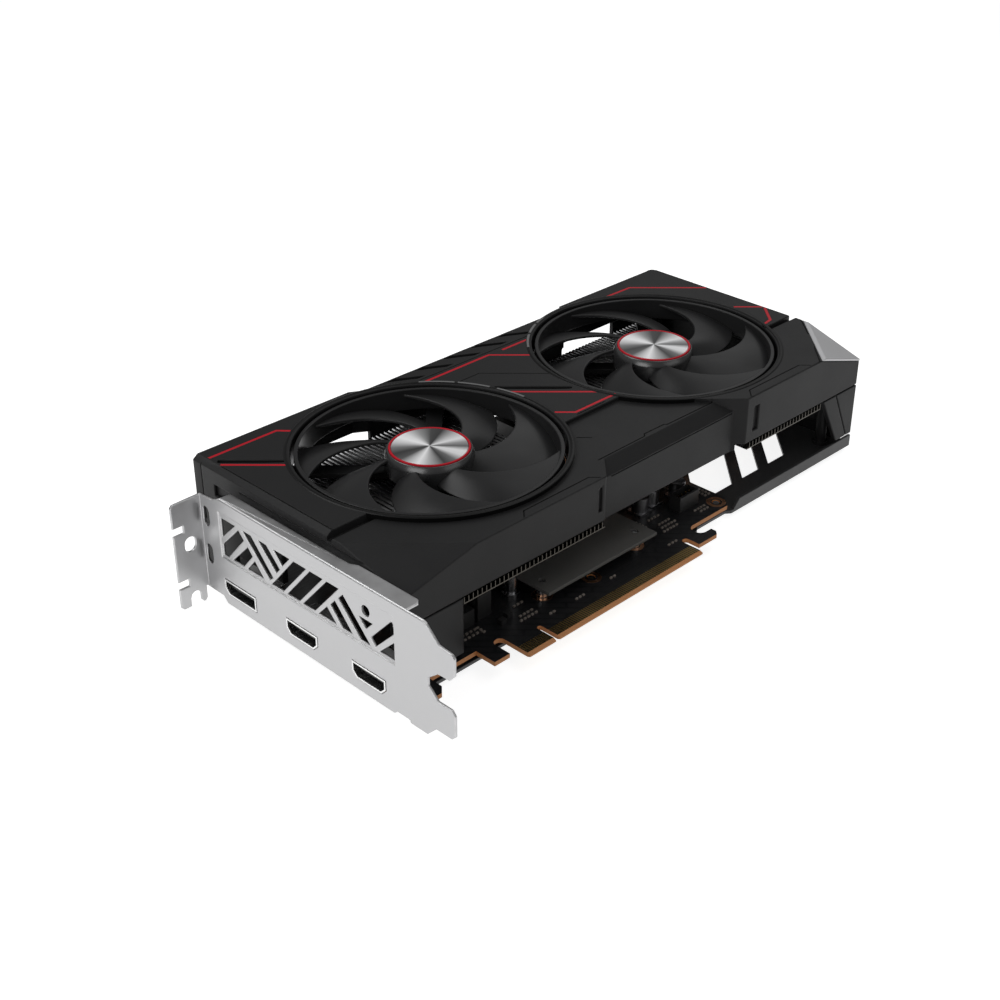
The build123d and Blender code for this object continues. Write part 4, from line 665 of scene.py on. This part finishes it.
# bright rims of the sleeves
bm = bmesh.new()
for middle, width, height, cuts, tongueZ in socketShape["mouths"]:
    outline = socketCorners(middle, width, height, cuts)
    mouth = bm.faces.new([bm.verts.new(atCard(socketShape["front"], y, z)) for y, z in outline])
    mouth.normal_update()
    inset = bmesh.ops.inset_region(bm, faces=[mouth], thickness=socketShape["rim"] * mm, use_even_offset=True,
                                   use_boundary=True)
    bmesh.ops.delete(bm, geom=[mouth], context="FACES")
    bmesh.ops.solidify(bm, geom=inset["faces"], thickness=socketShape["rimDepth"] * mm)
finished(bm, "SocketRims", sleeveMetal, "card", sharp=30.0)
# contacts on the tongues
bm = bmesh.new()
for middle, width, height, cuts, tongueZ in socketShape["mouths"]:
    for i in range(socketShape["contacts"]):
        y = middle + (i - (socketShape["contacts"] - 1) / 2) * socketShape["pitch"]
        spot = atCard(socketShape["contactX"], y, tongueZ + socketShape["contactRise"])
        block(bm, spot, socketShape["contact"])
finished(bm, "SocketContacts", goldPlate, "card", sharp=30.0)
print("sockets finished")

# floor: pale, keeps the card's soft shadow
floorLook, tree = nodeTree("studio floor")
out = addNode(tree, "ShaderNodeOutputMaterial")
lit = addNode(tree, "ShaderNodeBsdfDiffuse", Color=(0.50, 0.50, 0.50, 1.0))
glow = addNode(tree, "ShaderNodeEmission", Color=(1.0, 1.0, 1.0, 1.0), Strength=0.86)
both = addNode(tree, "ShaderNodeAddShader")
plain = addNode(tree, "ShaderNodeBsdfDiffuse", Color=(0.85, 0.85, 0.85, 1.0))
rays = addNode(tree, "ShaderNodeLightPath")
seen = addNode(tree, "ShaderNodeMath", operation="MAXIMUM")
seenAll = addNode(tree, "ShaderNodeMath", operation="MAXIMUM")
pick = addNode(tree, "ShaderNodeMixShader")
tree.links.new(rays.outputs["Is Camera Ray"], seen.inputs[0])
tree.links.new(rays.outputs["Is Glossy Ray"], seen.inputs[1])
tree.links.new(seen.outputs["Value"], seenAll.inputs[0])
tree.links.new(rays.outputs["Is Transmission Ray"], seenAll.inputs[1])
tree.links.new(lit.outputs["BSDF"], both.inputs[0])
tree.links.new(glow.outputs["Emission"], both.inputs[1])
tree.links.new(seenAll.outputs["Value"], pick.inputs["Fac"])
tree.links.new(plain.outputs["BSDF"], pick.inputs[1])
tree.links.new(both.outputs["Shader"], pick.inputs[2])
link(tree, pick, "Shader", out, "Surface")
bm = bmesh.new()
bmesh.ops.create_grid(bm, x_segments=1, y_segments=1, size=3.0)
bmesh.ops.translate(bm, verts=bm.verts, vec=(0, 0, cadLow.z - 0.0002))
floorMesh = bpy.data.meshes.new("floor")
bm.to_mesh(floorMesh)
bm.free()
floor = bpy.data.objects.new("floor", floorMesh)
bpy.context.scene.collection.objects.link(floor)
dress(floor, floorLook)

world = bpy.data.worlds.new("studio")
world.use_nodes = True
bpy.context.scene.world = world
tree = world.node_tree
tree.nodes.clear()
out = addNode(tree, "ShaderNodeOutputWorld")
soft = addNode(tree, "ShaderNodeBackground", Color=(1.0, 1.0, 1.0, 1.0), Strength=0.22)
white = addNode(tree, "ShaderNodeBackground", Color=(1.0, 1.0, 1.0, 1.0), Strength=1.0)
rays = addNode(tree, "ShaderNodeLightPath")
pick = addNode(tree, "ShaderNodeMixShader")
tree.links.new(rays.outputs["Is Camera Ray"], pick.inputs["Fac"])
tree.links.new(soft.outputs["Background"], pick.inputs[1])
tree.links.new(white.outputs["Background"], pick.inputs[2])
link(tree, pick, "Shader", out, "Surface")
print("stage made")
